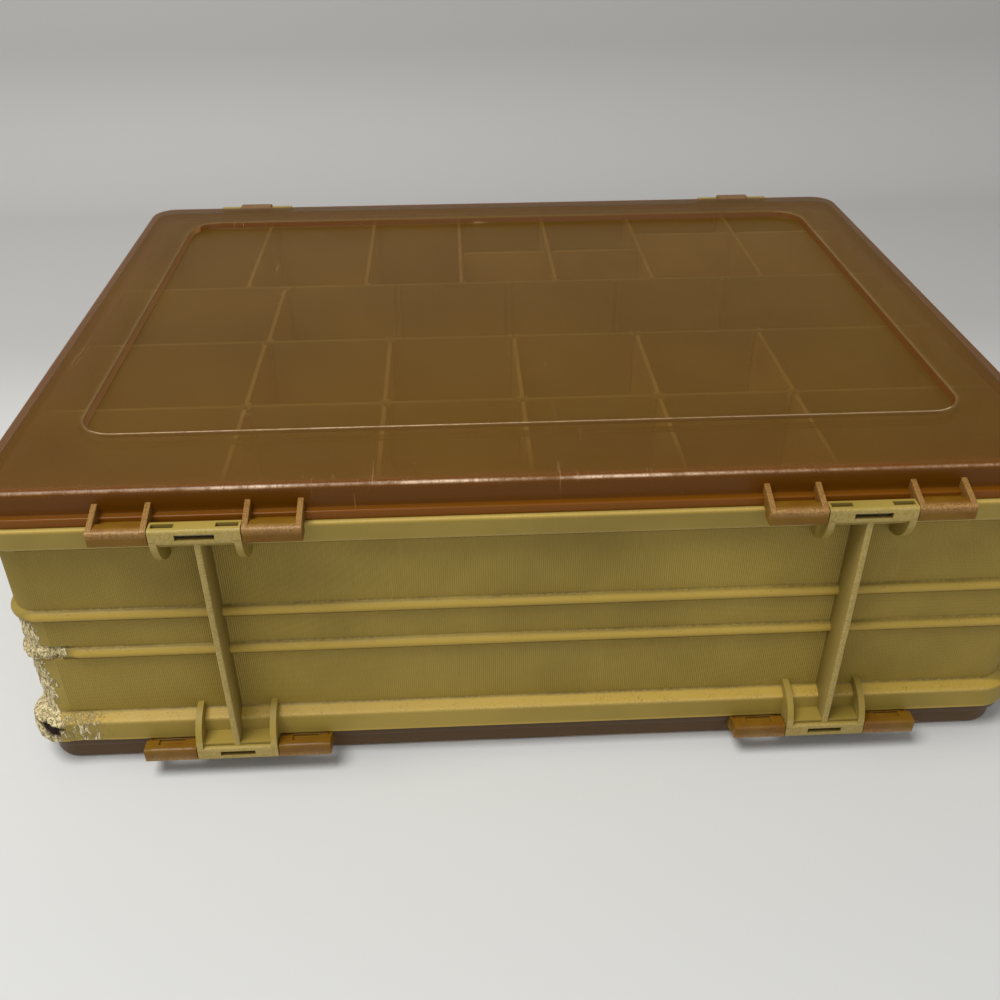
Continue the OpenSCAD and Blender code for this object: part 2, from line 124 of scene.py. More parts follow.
class TubSizes(bpy.types.PropertyGroup):
    """Sizes of the tub's moulding"""
    wall_inset: length("Wall inset", "How far the wall lies inside the lid's face", 1.5)
    wall_t: length("Wall", "Thickness of the outer walls", 2.4)
    corner_r: length("Corner", "Radius of a lid's upright corners", 12)
    floor_t: length("Floor", "Thickness of the floor between the trays", 2.4)
    rim_out: length("Rim depth", "How far a rim stands out from the wall", 5.5)
    rim_h: length("Rim height", "Height of a rim's outer face", 8.6)
    rim_draft: length("Rim draft", "How far that face leans in", 1.1)
    rim_slope: length("Rim slope", "Height of the slope from the face back to the wall", 2.2)
    rim_edge_r: length("Rim edge", "Rounding of a rim's edges", 0.7)
    tongue_h: length("Tongue", "How far the tray walls rise inside the lid", 6)
    bead_r: length("Bead", "Radius of the round beads", 2.15)
    bead_gap: length("Bead gap", "Distance between the two beads", 17.5)
    bead_foot_r: length("Bead foot", "Fillet where a bead meets the wall", 0.5)
    rib_pitch: length("Rib pitch", "Distance between the fine upright ribs", 0.75)
    rib_depth: length("Rib depth", "Depth of the fine upright ribs", 0.22)
    band_margin: length("Band margin", "Plain strip above and below a ribbed band", 0.5)
    inner_wall_t: length("Tray wall", "Thickness of the lengthwise tray walls", 1.8)
    front_wall_y: length("Front wall", "Place of the front lengthwise wall", -75)
    middle_wall_y: length("Middle wall", "Place of the middle lengthwise wall", -17.5)
    rear_wall_y: length("Rear wall", "Place of the rear lengthwise wall", 43.5)
    lower_wall_y: length("Lower walls", "Distance of the lower tray's walls from the middle", 45)
    guide_w: length("Guide width", "Width of the guide ribs beside a divider", 1.2)
    guide_out: length("Guide depth", "How far the guide ribs stand out", 1.8)
    divider_t: length("Divider", "Thickness of a loose divider", 1.6)
    divider_play: length("Divider play", "Room between a divider and its slot", 0.15)


class LidSizes(bpy.types.PropertyGroup):
    """Sizes of a clear lid"""
    top_t: length("Top", "Thickness of a lid's top", 2.2)
    side_t: length("Side", "Thickness of a lid's side", 2)
    play: length("Play", "Room between the lid's side and the tray walls", 0.4)
    edge_r: length("Top edge", "Radius of the lid's top edge", 1.8)
    lip_out: length("Lip", "How far the foot lip stands out", 2.5)
    lip_h: length("Lip height", "Height of the foot lip", 3.5)
    lip_edge_r: length("Lip edge", "Rounding of the lip's edges", 0.5)
    panel_sink: length("Panel depth", "Depth of the sunk panel", 3)
    panel_slope: length("Panel slope", "How far the panel's step leans inwards", 0.9)
    panel_edge_r: length("Panel edge", "Rounding of the step round the panel", 0.6)
    border_front: length("Front border", "Width of the border at the hinge side", 38)
    border_back: length("Back border", "Width of the border at the handle side", 25)
    border_side: length("Side border", "Width of the border left and right", 26)
    panel_corner_r: length("Panel corner", "Corner radius of the sunk panel", 13)


class HingeSizes(bpy.types.PropertyGroup):
    """Sizes of the hinges along the front"""
    up: length("Pin height", "Height of the pin above the rim's face", 1)
    knuckle_l: length("Knuckle", "Length of the tub's knuckle", 30)
    bar_d: length("Bar", "Depth and height of the knuckle and brackets", 6)
    bar_edge_r: length("Bar edge", "Rounding of their edges", 1)
    window_l: length("Window", "Length of the slot in the knuckle's front", 13)
    window_h: length("Window height", "Height of the knuckle's slots", 2.3)
    top_window_l: length("Top slots", "Length of the two slots on the knuckle's top", 7.4)
    end_wall: length("End wall", "Wall between a top slot and the knuckle's end", 0.8)
    bracket_l: length("Bracket", "Length of each lid bracket", 19.5)
    rib_t: length("Bracket ribs", "Thickness of a bracket's ribs", 2)
    rib_rise: length("Rib height", "Height of a rib on the lid's side, above the pin", 6.5)
    gap: length("Gap", "Gap between a knuckle and its brackets", 0.3)
    shelf_t: length("Shelf", "Thickness of the plate behind a bracket's bar", 1.5)
    notch_l: length("Notch", "Length of the notch under a bracket", 9.5)
    notch_d: length("Notch depth", "Depth of that notch", 1)
    arm_t: length("Arms", "Thickness of the knuckle's arms", 2.4)
    arm_drop: length("Arm drop", "How far the arms reach below the pin", 15)
    fin_t: length("Fin", "Thickness of the upright fin", 2.2)
    fin_back: length("Fin set-back", "How far the fin stays behind the knuckle's face", 1)
    play: length("Play", "Room between the bracket's ribs and the rim", 0.3)


class HandleSizes(bpy.types.PropertyGroup):
    """Sizes of the handle and the latches on the back"""
    out: length("Pin distance", "Distance of the handle's pins from the wall", 8)
    reach: length("Reach", "Distance from the pins to the middle of the grip", 31)
    arm_x: length("Arm place", "Distance of each arm from the middle", 65)
    arm_w: length("Arm", "Width and thickness of an arm", 8)
    grip_d: length("Grip depth", "Depth of the grip", 11)
    grip_h: length("Grip height", "Height of the grip", 13)
    bend_r: length("Bend", "Radius of the bends along the handle's middle line", 9)
    eye_r: length("Eye", "Radius of the eyes round the pins", 4.5)
    ear_t: length("Ear", "Thickness of an ear", 3)
    side_play: length("Play", "Room between an arm and its ears", 0.3)
    lug_w: length("Lug", "Width of the lid's latch lug", 16.5)
    lug_r: length("Lug radius", "Radius of the lug", 3.6)
    latch_eye_r: length("Latch eye", "Radius of the latch's eyes", 2.4)
    latch_w: length("Latch width", "Width of a latch", 38)
    latch_t: length("Latch", "Thickness of a latch's plate", 2)
    latch_l: length("Latch length", "Length of a latch below its pin", 21)
    claw_h: length("Claw", "Thickness of the latch's claw", 2)
    tab_out: length("Tab", "How far the latch's finger tab stands out", 2.4)


class Wear(bpy.types.PropertyGroup):
    """Sizes of the chewed corner"""
    band: length("Band", "Half width of the chewed band down the front left corner", 5.4)
    depth: length("Depth", "Usual depth of the bites", 1.3)
    swell: length("Swell", "How far the torn plastic stands out round the corner", 2.2)
    top: length("Top", "Height of the band's upper end, from the box's middle", 6)
    bead_reach: length("Bead bites", "How far the lower bead is chewed along the front", 13)
    rim_reach: length("Rim bites", "How far the lower rim is scuffed along the front", 27)
    edge_cut: length("Edge wear", "How far the rim's lower edge is worn back at the corner", 0.3)
    hole_x: length("Hole", "Place of the hole in the rim's face", -182.5)
    hole_z: length("Hole height", "Height of that hole from the box's middle", -43.6)
    hole_l: length("Hole half length", "Half length of the hole", 5)
    hole_h: length("Hole half height", "Half height of the hole", 3.4)
    hole_depth: length("Hole depth", "How deep the hole is bitten", 1.6)


class Colours(bpy.types.PropertyGroup):
    """Colours of the mouldings"""
    tan: colour("Tan", "The tub's plastic", 158, 135, 60)
    tan_deep: colour("Tan, worn", "Darker cast of the tub's plastic", 136, 115, 46)
    chewed: colour("Chewed", "Torn plastic fibres", 236, 220, 172)
    grime: colour("Grime", "Dirt in corners", 66, 52, 30)
    lid: colour("Lid", "The clear brown lids", 116, 80, 11)
    lid_side: colour("Lid side", "The lids' sides, where the sheet is seen edge on", 102, 58, 3)
    lid_lip: colour("Lid lip", "The lids' thick foot lips", 126, 74, 14)
    # Painted shade: the lower lid's side and lip are darker copies of the lid's side and lip colours, for
    # the shadow under the tub
    shaded_low_side: colour("Lower lid side", "The lower lid's side, dulled by dragging", 98, 76, 52)
    shaded_low_lip: colour("Lower lid lip", "The lower lid's foot lip", 92, 72, 50)
    haze: colour("Haze", "Fine scratches on the lids", 206, 176, 132)
    bracket: colour("Bracket", "The lids' hinge brackets", 132, 94, 20)
    divider: colour("Divider", "The loose dividers", 204, 162, 80)
    steel: colour("Steel", "The pins", 150, 146, 138)
    rust: colour("Rust", "Spots on the pins", 96, 58, 34)
    floor: colour("Floor", "The stage's floor", 206, 206, 203)
    wall: colour("Backdrop", "The stage's backdrop", 184, 182, 179)


def measures(scene):
    """The box's main measures in metres; heights count from the middle of its height"""
    tub, lid = scene.tackle_tub, scene.tackle_lid
    m = SimpleNamespace()
    m.rim = HINGE[2] - scene.tackle_hinge.up - MID
    m.rim_low = m.rim - tub.rim_h
    m.rim_foot = m.rim_low - tub.rim_slope
    m.bead = tub.bead_gap / 2
    m.top = box_of("top_lid")[1][2] - MID
    m.tongue = m.rim + tub.tongue_h
    m.lid_w = 2 * (box_of("top_lid")[1][0] - lid.lip_out)
    m.wall_w = m.lid_w - 2 * tub.wall_inset
    m.wall_d = 2 * (FOLD[1] - scene.tackle_handle.out)
    m.lid_d = m.wall_d + 2 * tub.wall_inset
    m.wall_r = tub.corner_r - tub.wall_inset
    m.side_w, m.side_d = m.wall_w - 2 * m.wall_r, m.wall_d - 2 * m.wall_r
    m.tray_w, m.tray_d = m.wall_w - 2 * tub.wall_t, m.wall_d - 2 * tub.wall_t
    m.tongue_in = tub.wall_inset - lid.side_t - lid.play
    m.panel_w = m.lid_w - 2 * lid.border_side
    m.panel_d = m.lid_d - lid.border_front - lid.border_back
    m.panel_y = (lid.border_front - lid.border_back) / 2
    m.hinge_h = HINGE[2] - MID
    m.bar_y = HINGE[1]
    m.hinge_x = middle_of("hinge_pin_top_right", 0)
    m.latch_h = LATCH[2] - MID
    return m


# ---- surfaces, as arrays ----

class Surface:
    """Points and faces of a mesh in the making. corners lists every face's points in turn, and
    counts says how many each face has."""

    def __init__(self, points, corners, counts):
        self.points, self.corners, self.counts = points, corners, counts

    def __add__(self, other):
        return Surface(np.concatenate([self.points, other.points]),
                       np.concatenate([self.corners, other.corners + len(self.points)]),
                       np.concatenate([self.counts, other.counts]))

    def moved(self, x=0.0, y=0.0, z=0.0):
        return Surface(self.points + np.array([x, y, z]), self.corners, self.counts)

    def on(self, side):
        """As it is for the upper face, 1, and its mirror image half way up the box for the lower, -1"""
        return Surface(self.points * np.array([1, 1, side]), self.corners, self.counts)


def joined(surfaces):
    """One surface of several, in their order"""
    return sum(surfaces[1:], surfaces[0])


def skin(loops):
    """Closes a stack of loops, of shape (loops, points, 3): neighbours are joined by four-sided faces,
    the last point of a loop by its first, and each end loop is filled by one flat face."""
    stations, around = loops.shape[:2]
    index = np.arange(stations * around).reshape(stations, around)
    after = np.roll(index, -1, axis=1)
    quads = np.stack([index[:-1], after[:-1], after[1:], index[1:]], axis=-1).reshape(-1, 4)
    corners = np.concatenate([quads.ravel(), index[0][::-1], index[-1]])
    counts = np.concatenate([np.full(len(quads), 4), [around, around]])
    return Surface(loops.reshape(-1, 3), corners, counts)


def arc(centre, radius, start, end, count=8):
    """Points of a circle's arc: centre + radius (cos a, sin a), with a from start to end in degrees"""
    angle = np.radians(np.linspace(start, end, count))
    return np.array(centre) + radius * np.column_stack([np.cos(angle), np.sin(angle)])


def straight(start, end, step):
    """Points inside a straight stretch, about a step apart and without its two ends"""
    start, end = np.array(start, float), np.array(end, float)
    count = max(1, round(float(np.linalg.norm(end - start)) / step))
    share = np.arange(1, count)[:, None] / count
    return start + share * (end - start)


def prism(outline, low, high):
    """A closed outline of [x, y] points raised from one height to another"""
    loops = [np.column_stack([outline, np.full(len(outline), z)]) for z in (low, high)]
    return skin(np.stack(loops))


def bar(outlines, stations):
    """Outlines of [y, z] points, one for each station, carried along X"""
    outlines = np.broadcast_to(outlines, (len(stations),) + np.shape(outlines)[-2:])
    x = np.broadcast_to(np.asarray(stations)[:, None, None], outlines.shape[:2] + (1,))
    return skin(np.concatenate([x, outlines], axis=-1))


def block(low, high):
    """A box between two corners"""
    (x0, y0, z0), (x1, y1, z1) = low, high
    return prism([[x0, y0], [x1, y0], [x1, y1], [x0, y1]], z0, z1)


# Signs of the corner where each side of a round-cornered rectangle starts: the front side runs
# left to right, and the others follow counter-clockwise
CORNER_X = np.array([-1, 1, 1, -1])
CORNER_Y = np.array([-1, -1, 1, 1])


def places(sides, turns):
    """Places round a round-cornered rectangle, as rows of [side, share along it, share of the corner
    after it]. sides holds each side's shares, and turns each corner's number of steps."""
    rows = []
    for k, (shares, turn) in enumerate(zip(sides, turns)):
        rows.append(np.column_stack([np.full(len(shares), k), shares, np.zeros(len(shares))]))
        bend = np.arange(turn) / turn
        rows.append(np.column_stack([np.full(turn, k), np.ones(turn), bend]))
    return np.concatenate(rows)


def even(count):
    """Shares of a side cut in a number of equal steps"""
    return np.arange(count) / count


def rings(at, profile):
    """Loops round round-cornered rectangles. A profile row is [width, depth, radius, height, shift in y].
    Each point is the straight side's point plus the radius along the outward direction, whose angle is
    a quarter turn times (side - 1 + share of the corner)."""
    width, depth, radius, height, shift = (profile[:, i, None] for i in range(5))
    side, along, turn = at.T
    here, after = side.astype(int), (side.astype(int) + 1) % 4
    angle = math.pi / 2 * (side - 1 + turn)
    x = (width / 2 - radius) * (CORNER_X[here] + along * (CORNER_X[after] - CORNER_X[here]))
    y = (depth / 2 - radius) * (CORNER_Y[here] + along * (CORNER_Y[after] - CORNER_Y[here]))
    x, y = x + radius * np.cos(angle), y + radius * np.sin(angle) + shift
    return np.stack([x, y, np.broadcast_to(height, x.shape)], axis=-1)


def offset_profile(width, depth, radius, steps):
    """Profile rows for steps of [distance outwards, height] round one rectangle. Far inside, the corner
    keeps a small radius."""
    out, height = np.asarray(steps).T
    corner = np.maximum(radius + out, 0.4 * MM)
    return np.column_stack([width + 2 * out, depth + 2 * out, corner, height, 0 * out])


def round_rect(width, depth, radius, steps=5):
    """Outline of a rectangle with round corners about the origin"""
    corners = [arc([CORNER_X[k] * (width / 2 - radius), CORNER_Y[k] * (depth / 2 - radius)],
                   radius, 90 * (k + 2), 90 * (k + 3), steps + 1) for k in range(4)]
    return np.concatenate(corners)


def round_rect_distance(points, half_w, half_d, radius, shift=0.0):
    """Distance out of a rectangle with round corners about (0, shift), below 0 inside: with
    q = |p| - half + radius it is |max(q, 0)| + min(max(qx, qy), 0) - radius."""
    x = np.abs(points[:, 0]) - half_w + radius
    y = np.abs(points[:, 1] - shift) - half_d + radius
    return np.hypot(np.maximum(x, 0), np.maximum(y, 0)) + np.minimum(np.maximum(x, y), 0) - radius


# Large primes that mix a lattice corner's three whole numbers and the seed into one number
HASH_PRIMES = (73856093, 19349663, 83492791)
HASH_SEED, HASH_MIX = 2654435761, 1274126177


def lattice_noise(points, size, seed):
    """Smooth noise from 0 to 1: a fixed number at each corner of a lattice of the given size, blended
    inside each cell by 3t^2 - 2t^3 along each axis"""
    cell = points / size
    low = np.floor(cell)
    blend = cell - low
    blend = blend * blend * (3 - 2 * blend)
    low = low.astype(np.int64)
    total = np.zeros(points.shape[:-1])
    for corner in np.ndindex(2, 2, 2):
        at = low + np.array(corner)
        key = seed * HASH_SEED
        for axis, prime in enumerate(HASH_PRIMES):
            key = key ^ (at[..., axis] * prime)
        key = (key ^ (key >> 13)) * HASH_MIX
        number = ((key ^ (key >> 16)) & 0xFFFF) / 0xFFFF
        weight = np.prod(np.where(np.array(corner) == 1, blend, 1 - blend), axis=-1)
        total += weight * number
    return total


def smooth_step(value, low, high):
    """0 below low, 1 above high and 3t^2 - 2t^3 between"""
    share = np.clip((value - low) / (high - low), 0, 1)
    return share * share * (3 - 2 * share)


def fade(value, low, high):
    """1 below low, 0 above high and smooth between"""
    return 1 - smooth_step(value, low, high)


def bell(value, width):
    """1 at 0, falling as exp(-(value / width)^2)"""
    return np.exp(-(value / width) ** 2)


# ---- meshes and their place in the frame ----

LIFT = np.array([0, 0, MID])             # from the middle of the box's height to the frame's origin
SHARP = math.radians(38)                 # edges that turn by more stay sharp, or are rounded
SAME_PLACE, TOO_SHORT = 2e-6, 1e-6       # points and edges that are merged, in metres


def make_piece(name, surface, body, finish, replaced, bevel=0.0, marks=None, merge=True):
    """Puts a surface into a mesh, turns its faces outwards, rounds its edges and gives it its body
    and finish. marks holds functions of the points that become attributes for the finish."""
    mesh = bpy.data.meshes.new(name)
    points = surface.points + LIFT
    starts = np.concatenate([[0], np.cumsum(surface.counts)[:-1]])
    mesh.vertices.add(len(points))
    mesh.vertices.foreach_set("co", points.ravel().astype(np.float32))
    mesh.loops.add(len(surface.corners))
    mesh.loops.foreach_set("vertex_index", surface.corners.astype(np.int32))
    mesh.polygons.add(len(starts))
    mesh.polygons.foreach_set("loop_start", starts.astype(np.int32))
    mesh.update(calc_edges=True)
    mesh.validate()
    work = bmesh.new()
    work.from_mesh(mesh)
    if merge:
        bmesh.ops.remove_doubles(work, verts=work.verts, dist=SAME_PLACE)
        bmesh.ops.dissolve_degenerate(work, edges=work.edges, dist=TOO_SHORT)
    bmesh.ops.recalc_face_normals(work, faces=work.faces)
    work.to_mesh(mesh)
    work.free()
    at = np.empty(len(mesh.vertices) * 3, np.float32)
    mesh.vertices.foreach_get("co", at)
    at = at.reshape(-1, 3).astype(float) - LIFT
    for mark, rule in (marks or {}).items():
        values = mesh.attributes.new(mark, "FLOAT", "POINT")
        values.data.foreach_set("value", np.asarray(rule(at), np.float32))
    mesh.shade_smooth()
    mesh.set_sharp_from_angle(angle=SHARP)
    mesh.materials.append(finish_of(finish))
    obj = bpy.data.objects.new(name, mesh)
    bpy.context.scene.collection.objects.link(obj)
    if bevel:
        rounding = obj.modifiers.new("Rounding", "BEVEL")
        rounding.width, rounding.segments = bevel, 2
        rounding.limit_method, rounding.angle_limit = "ANGLE", SHARP
        rounding.harden_normals = False
    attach(obj, body)
    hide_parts(*replaced)


def dress(nodes, finish):
    """Gives solids of the frame a finish"""
    for name in nodes:
        mesh = frame["nodes"][name].data
        mesh.materials.clear()
        mesh.materials.append(finish_of(finish))


# ---- shader maths ----

class Value:
    """A socket that takes part in sums, so that a formula reads as one"""

    def __init__(self, finish, socket):
        self.finish, self.socket = finish, socket

    def maths(self, operation, first, second, clamp=False):
        settings = {"operation": operation, "use_clamp": clamp}
        node = self.finish.add("ShaderNodeMath", settings, {0: first, 1: second})
        return Value(self.finish, node.outputs[0])

    def __add__(self, other):
        return self.maths("ADD", self, other)

    def __mul__(self, other):
        return self.maths("MULTIPLY", self, other)

    def __sub__(self, other):
        return self.maths("SUBTRACT", self, other)

    def __rsub__(self, other):
        return self.maths("SUBTRACT", other, self)

    __radd__ = __add__
    __rmul__ = __mul__

    def most(self, other):
        return self.maths("MAXIMUM", self, other)

    def within(self):
        """Kept from 0 to 1"""
        return self.maths("ADD", self, 0.0, clamp=True)

    def step(self, low, high):
        """0 below low, 1 above high and smooth between"""
        node = self.finish.add("ShaderNodeMapRange", {"interpolation_type": "SMOOTHSTEP"},
                               {"Value": self, "From Min": low, "From Max": high})
        return Value(self.finish, node.outputs[0])


class Finish:
    """A material with one Principled shader, whose other nodes all come from add. base is the colour
    so far, which every cover lies on."""

    def __init__(self, name, base, **constants):
        self.material = bpy.data.materials.new(name)
        self.material.use_nodes = True
        self.tree = self.material.node_tree
        self.shader = self.tree.nodes["Principled BSDF"]
        for socket, value in constants.items():
            self.shader.inputs[socket.replace("_", " ")].default_value = value
        self.place = self.add("ShaderNodeTexCoord").outputs["Object"]
        self.base = base

    def add(self, kind, settings=None, inputs=None):
        """A node of a kind, with its settings first and then the values or links of its sockets"""
        node = self.tree.nodes.new(kind)
        for key, value in (settings or {}).items():
            setattr(node, key, value)
        for key, value in (inputs or {}).items():
            socket = node.inputs[key]
            if isinstance(value, Value):
                value = value.socket
            if isinstance(value, bpy.types.NodeSocket):
                self.tree.links.new(value, socket)
            else:
                socket.default_value = value
        return node

    def done(self, **values):
        """Links the base colour and the values given to the shader's own sockets"""
        for name, value in {"Base_Color": self.base, **values}.items():
            socket = value.socket if isinstance(value, Value) else value
            self.tree.links.new(socket, self.shader.inputs[name.replace("_", " ")])
        return self.material

    def back(self):
        """The place along Y in metres"""
        node = self.add("ShaderNodeSeparateXYZ", inputs={0: self.place})
        return Value(self, node.outputs[1])

    def noise(self, scale, detail=2.0, roughness=0.5, distortion=0.0):
        """Noise from 0 to 1 with so many cells to the metre, or so many along each of three axes"""
        place = self.place
        if isinstance(scale, tuple):
            stretched = self.add("ShaderNodeMapping", {"vector_type": "POINT"},
                                 {"Vector": place, "Scale": scale})
            place, scale = stretched.outputs[0], 1
        node = self.add("ShaderNodeTexNoise", {"noise_dimensions": "3D"},
                        {"Vector": place, "Scale": scale, "Detail": detail,
                         "Roughness": roughness, "Distortion": distortion})
        return Value(self, node.outputs[0])

    def mark(self, name):
        """An attribute that make_piece painted on the points, 0 where it painted none"""
        node = self.add("ShaderNodeAttribute", {"attribute_type": "GEOMETRY", "attribute_name": name})
        return Value(self, node.outputs["Fac"])

    def blend(self, share, first, second):
        """First colour where the share is 0 and second where it is 1"""
        first, second = (c if isinstance(c, bpy.types.NodeSocket) else (*c, 1.0) for c in (first, second))
        node = self.add("ShaderNodeMix", {"data_type": "RGBA"}, {0: share, 6: first, 7: second})
        return node.outputs[2]

    def cover(self, share, colour):
        """Lays a colour over the base by a share from 0 to 1"""
        self.base = self.blend(share, self.base, colour)

    def bump(self, height, depth, strength, below=None):
        """A normal bent by a height from 0 to 1 that stands for a depth in metres"""
        inputs = {"Height": height, "Distance": depth, "Strength": strength}
        if below is not None:
            inputs["Normal"] = below
        return self.add("ShaderNodeBump", inputs=inputs).outputs[0]


# Second colours that the finishes mix in
TAN_STREAK, TAN_SCUFF, TAN_RUBBED = linear(180, 158, 88), linear(196, 176, 118), linear(206, 184, 134)
# Painted highlight for the crests, and painted shade for the fins' sides
TAN_HIGHLIGHT, TAN_SHADE = linear(186, 154, 64), linear(96, 80, 30)
# Torn fibres and the dark gaps between them; the last colour is painted shade, nearly black, for the bitten
# hole and the knuckles' slots
TORN_DARK, TORN_GAP, HOLE_SHADE = linear(132, 114, 68), linear(84, 62, 22), linear(30, 14, 3)
DIVIDER_WORN, DIVIDER_LINE = linear(180, 140, 66), linear(206, 158, 84)
LID_CLOUD, LID_STEP, LID_PALE = linear(106, 71, 9), linear(104, 60, 12), linear(176, 124, 70)
# Painted highlight along the lids' front top edge and the step's front edge
LID_HIGHLIGHT = linear(226, 196, 164)
BRACKET_CLOUD, BRACKET_DIRT, BRACKET_WHITE = linear(124, 80, 10), linear(96, 56, 26), linear(206, 162, 112)
STEEL_DRAWN = linear(118, 114, 108)


def tan_finish(colours):
    """Matt tan plastic: cloudy colour, a fine satin grain, specks of dirt, rubbed pale scuffs, grime where
    ridges meet the wall, and torn pale fibres where it was chewed. Painted highlights lighten the beads,
    the lower rim's slope and the rims' outer edges; painted shade darkens the fins' sides and makes the
    bitten hole and the knuckles' slots nearly black"""
    f = Finish("tan_moulding", colours.tan, Specular_IOR_Level=0.28)
    f.cover(f.noise(16, 3, 0.55).step(0.3, 0.8), colours.tan_deep)
    f.cover(f.noise((260, 260, 14), 4, 0.6).step(0.56, 0.78) * 0.12, TAN_STREAK)
    scuff = f.noise((90, 90, 420), 5, 0.7).step(0.66, 0.74) * f.noise(38).step(0.48, 0.62)
    f.cover(scuff * 0.35, TAN_SCUFF)
    # Painted highlight: the beads, the lower rim's slope and the rims' outer edges are lightened where the
    # light from above falls on them
    f.cover(f.mark("crest") * 0.8, TAN_HIGHLIGHT)
    rubbed = f.mark("rubbed") * f.noise(1500, 4, 0.75).step(0.34, 0.66)
    f.cover(rubbed * 0.42, TAN_RUBBED)
    specks = f.noise(2100).step(0.72, 0.78) * f.noise(70, 3).step(0.52, 0.68)
    settled = f.mark("settled") * f.noise(1700, 3, 0.6).step(0.56, 0.66) * f.noise(90).step(0.35, 0.6)
    patchy = 0.4 + 0.6 * f.noise(40).step(0.3, 0.6)
    grime = f.mark("grime") * f.noise(700, 4, 0.7).step(0.3, 0.6) * patchy
    f.cover((specks * 0.5).most(grime * 0.7).most(settled * 0.6), colours.grime)
    # Painted shade: the fins' sides are darkened as if they lay in shadow
    f.cover(f.mark("shade") * 0.6, TAN_SHADE)
    fibre = f.noise((1050, 1050, 330), 5, 0.7, 0.8)
    torn = (f.mark("chew") * 1.5 - 0.4 + (fibre - 0.5) * 2.2).step(0.2, 0.5)
    gaps = f.noise((1000, 1000, 380), 3, 0.6, 0.6).step(0.57, 0.66)
    pale = f.blend(fibre.step(0.4, 0.62), TORN_DARK, colours.chewed)
    f.cover(torn, f.blend(gaps * 0.35, pale, TORN_GAP))
    # Painted shade: the bitten hole and the knuckles' slots are made nearly black, as hardly any light
    # reaches into them
    f.cover(f.mark("hole"), HOLE_SHADE)
    fine = f.bump(f.noise(2600, 2, 0.6), 0.05 * MM, 0.5)
    return f.done(Roughness=0.42 + 0.16 * f.noise(160, 3) + 0.3 * torn,
                  Normal=f.bump(fibre * torn, 0.7 * MM, 0.9, fine))


def divider_finish(colours):
    """Thin ochre plastic, a little cloudy, with pale level flow lines"""
    f = Finish("divider_sheet", colours.divider, Specular_IOR_Level=0.3)
    f.cover(f.noise(30, 3).step(0.35, 0.7), DIVIDER_WORN)
    f.cover(f.noise((60, 60, 900), 3, 0.6).step(0.52, 0.7) * 0.25, DIVIDER_LINE)
    return f.done(Roughness=0.42 + 0.15 * f.noise(200),
                  Normal=f.bump(f.noise(1800), 0.04 * MM, 0.5))


def lid_finish(colours, name, side, lip):
    """Clear brown plastic that lets about half the light through each skin. Its side, lip and step let
    less through, the panel is dulled by fine scratches, and the front edges are rubbed to white specks.
    A painted highlight runs along the front top edge and the step's front edge, and the step's rubbed
    edge is made brightest along the front, where it is partly a painted highlight."""
    f = Finish(name, colours.lid, Specular_IOR_Level=0.19, IOR=1.5)
    f.cover(f.noise(9, 3).step(0.3, 0.75), LID_CLOUD)
    thick, step = f.mark("thick"), f.mark("step")
    f.cover(thick, side)
    f.cover(f.mark("lip"), lip)
    f.cover(step, LID_STEP)
    f.cover(f.mark("pale_step") * 0.8, LID_PALE)
    hairs = f.noise((900, 40, 40), 3, 0.5, 0.6).step(0.69, 0.71)
    hairs = hairs.most(f.noise((52, 800, 52), 3, 0.5, 0.8).step(0.7, 0.72)) * f.noise(26).step(0.5, 0.68)
    dots = f.noise(1900).step(0.74, 0.78) * f.noise(45).step(0.48, 0.64)
    dashes = 0.35 + 0.65 * f.noise((330, 60, 60), 4, 0.7).step(0.36, 0.56)
    # Painted highlight: a bright line along the front top edge and the step's front edge
    painted_highlight = f.mark("edge_line") * dashes * (0.45 + 0.55 * f.noise(1900, 3, 0.6).step(0.35, 0.6))
    rubbed = f.mark("front_wear") * f.noise(1700, 4, 0.7).step(0.58, 0.66)
    # The step's rubbed edge: real wear, made strongest along the front, where it also stands for a painted
    # highlight
    edge = f.mark("edge_wear") * (0.5 + 0.5 * f.noise(1100, 4, 0.75).step(0.34, 0.6))
    white = (hairs * 0.25).most(dots * 0.5).most(rubbed * 0.6).most(edge * 0.85)
    f.cover(white, colours.haze)
    f.cover(painted_highlight, LID_HIGHLIGHT)
    film = f.noise(60, 4, 0.6)
    closed = 0.42 + 0.06 * film + thick * 0.44 + step * 0.35 + white * 0.4 + painted_highlight * 0.4
    return f.done(Alpha=closed.within(), Roughness=0.24 + 0.12 * film + 0.25 * white,
                  Normal=f.bump(f.noise(34) + white * 0.2, 0.1 * MM, 0.35))


def bracket_finish(colours):
    """The same plastic where it is thick: nearly closed amber, with rubbed edges and a little dirt"""
    f = Finish("brown_clear_thick", colours.bracket, Specular_IOR_Level=0.25, IOR=1.5)
    f.cover(f.noise(120, 3).step(0.35, 0.7), BRACKET_CLOUD)
    f.cover(f.noise(700, 4, 0.7).step(0.62, 0.75) * 0.35, BRACKET_DIRT)
    white = f.mark("rubbed") * f.noise(1700, 4, 0.8).step(0.3, 0.7)
    white = white.most(f.noise(1300, 4, 0.8).step(0.66, 0.74) * 0.15)
    f.cover(white * 0.7, BRACKET_WHITE)
    return f.done(Alpha=0.74 + 0.2 * white, Roughness=0.32 + 0.15 * f.noise(300, 3),
                  Normal=f.bump(f.noise(1500, 3), 0.06 * MM, 0.6))


def steel_finish(colours):
    """Drawn wire with a dull shine and spots of rust"""
    f = Finish("pin_wire", colours.steel, Specular_IOR_Level=0.5)
    rust = f.noise(500, 4, 0.7).step(0.55, 0.7)
    drawn = f.noise((40, 2500, 2500))
    f.cover(drawn, STEEL_DRAWN)
    f.cover(rust, colours.rust)
    return f.done(Metallic=1.0 - 0.8 * rust, Roughness=0.34 + 0.4 * rust,
                  Normal=f.bump(drawn, 0.03 * MM, 0.5))


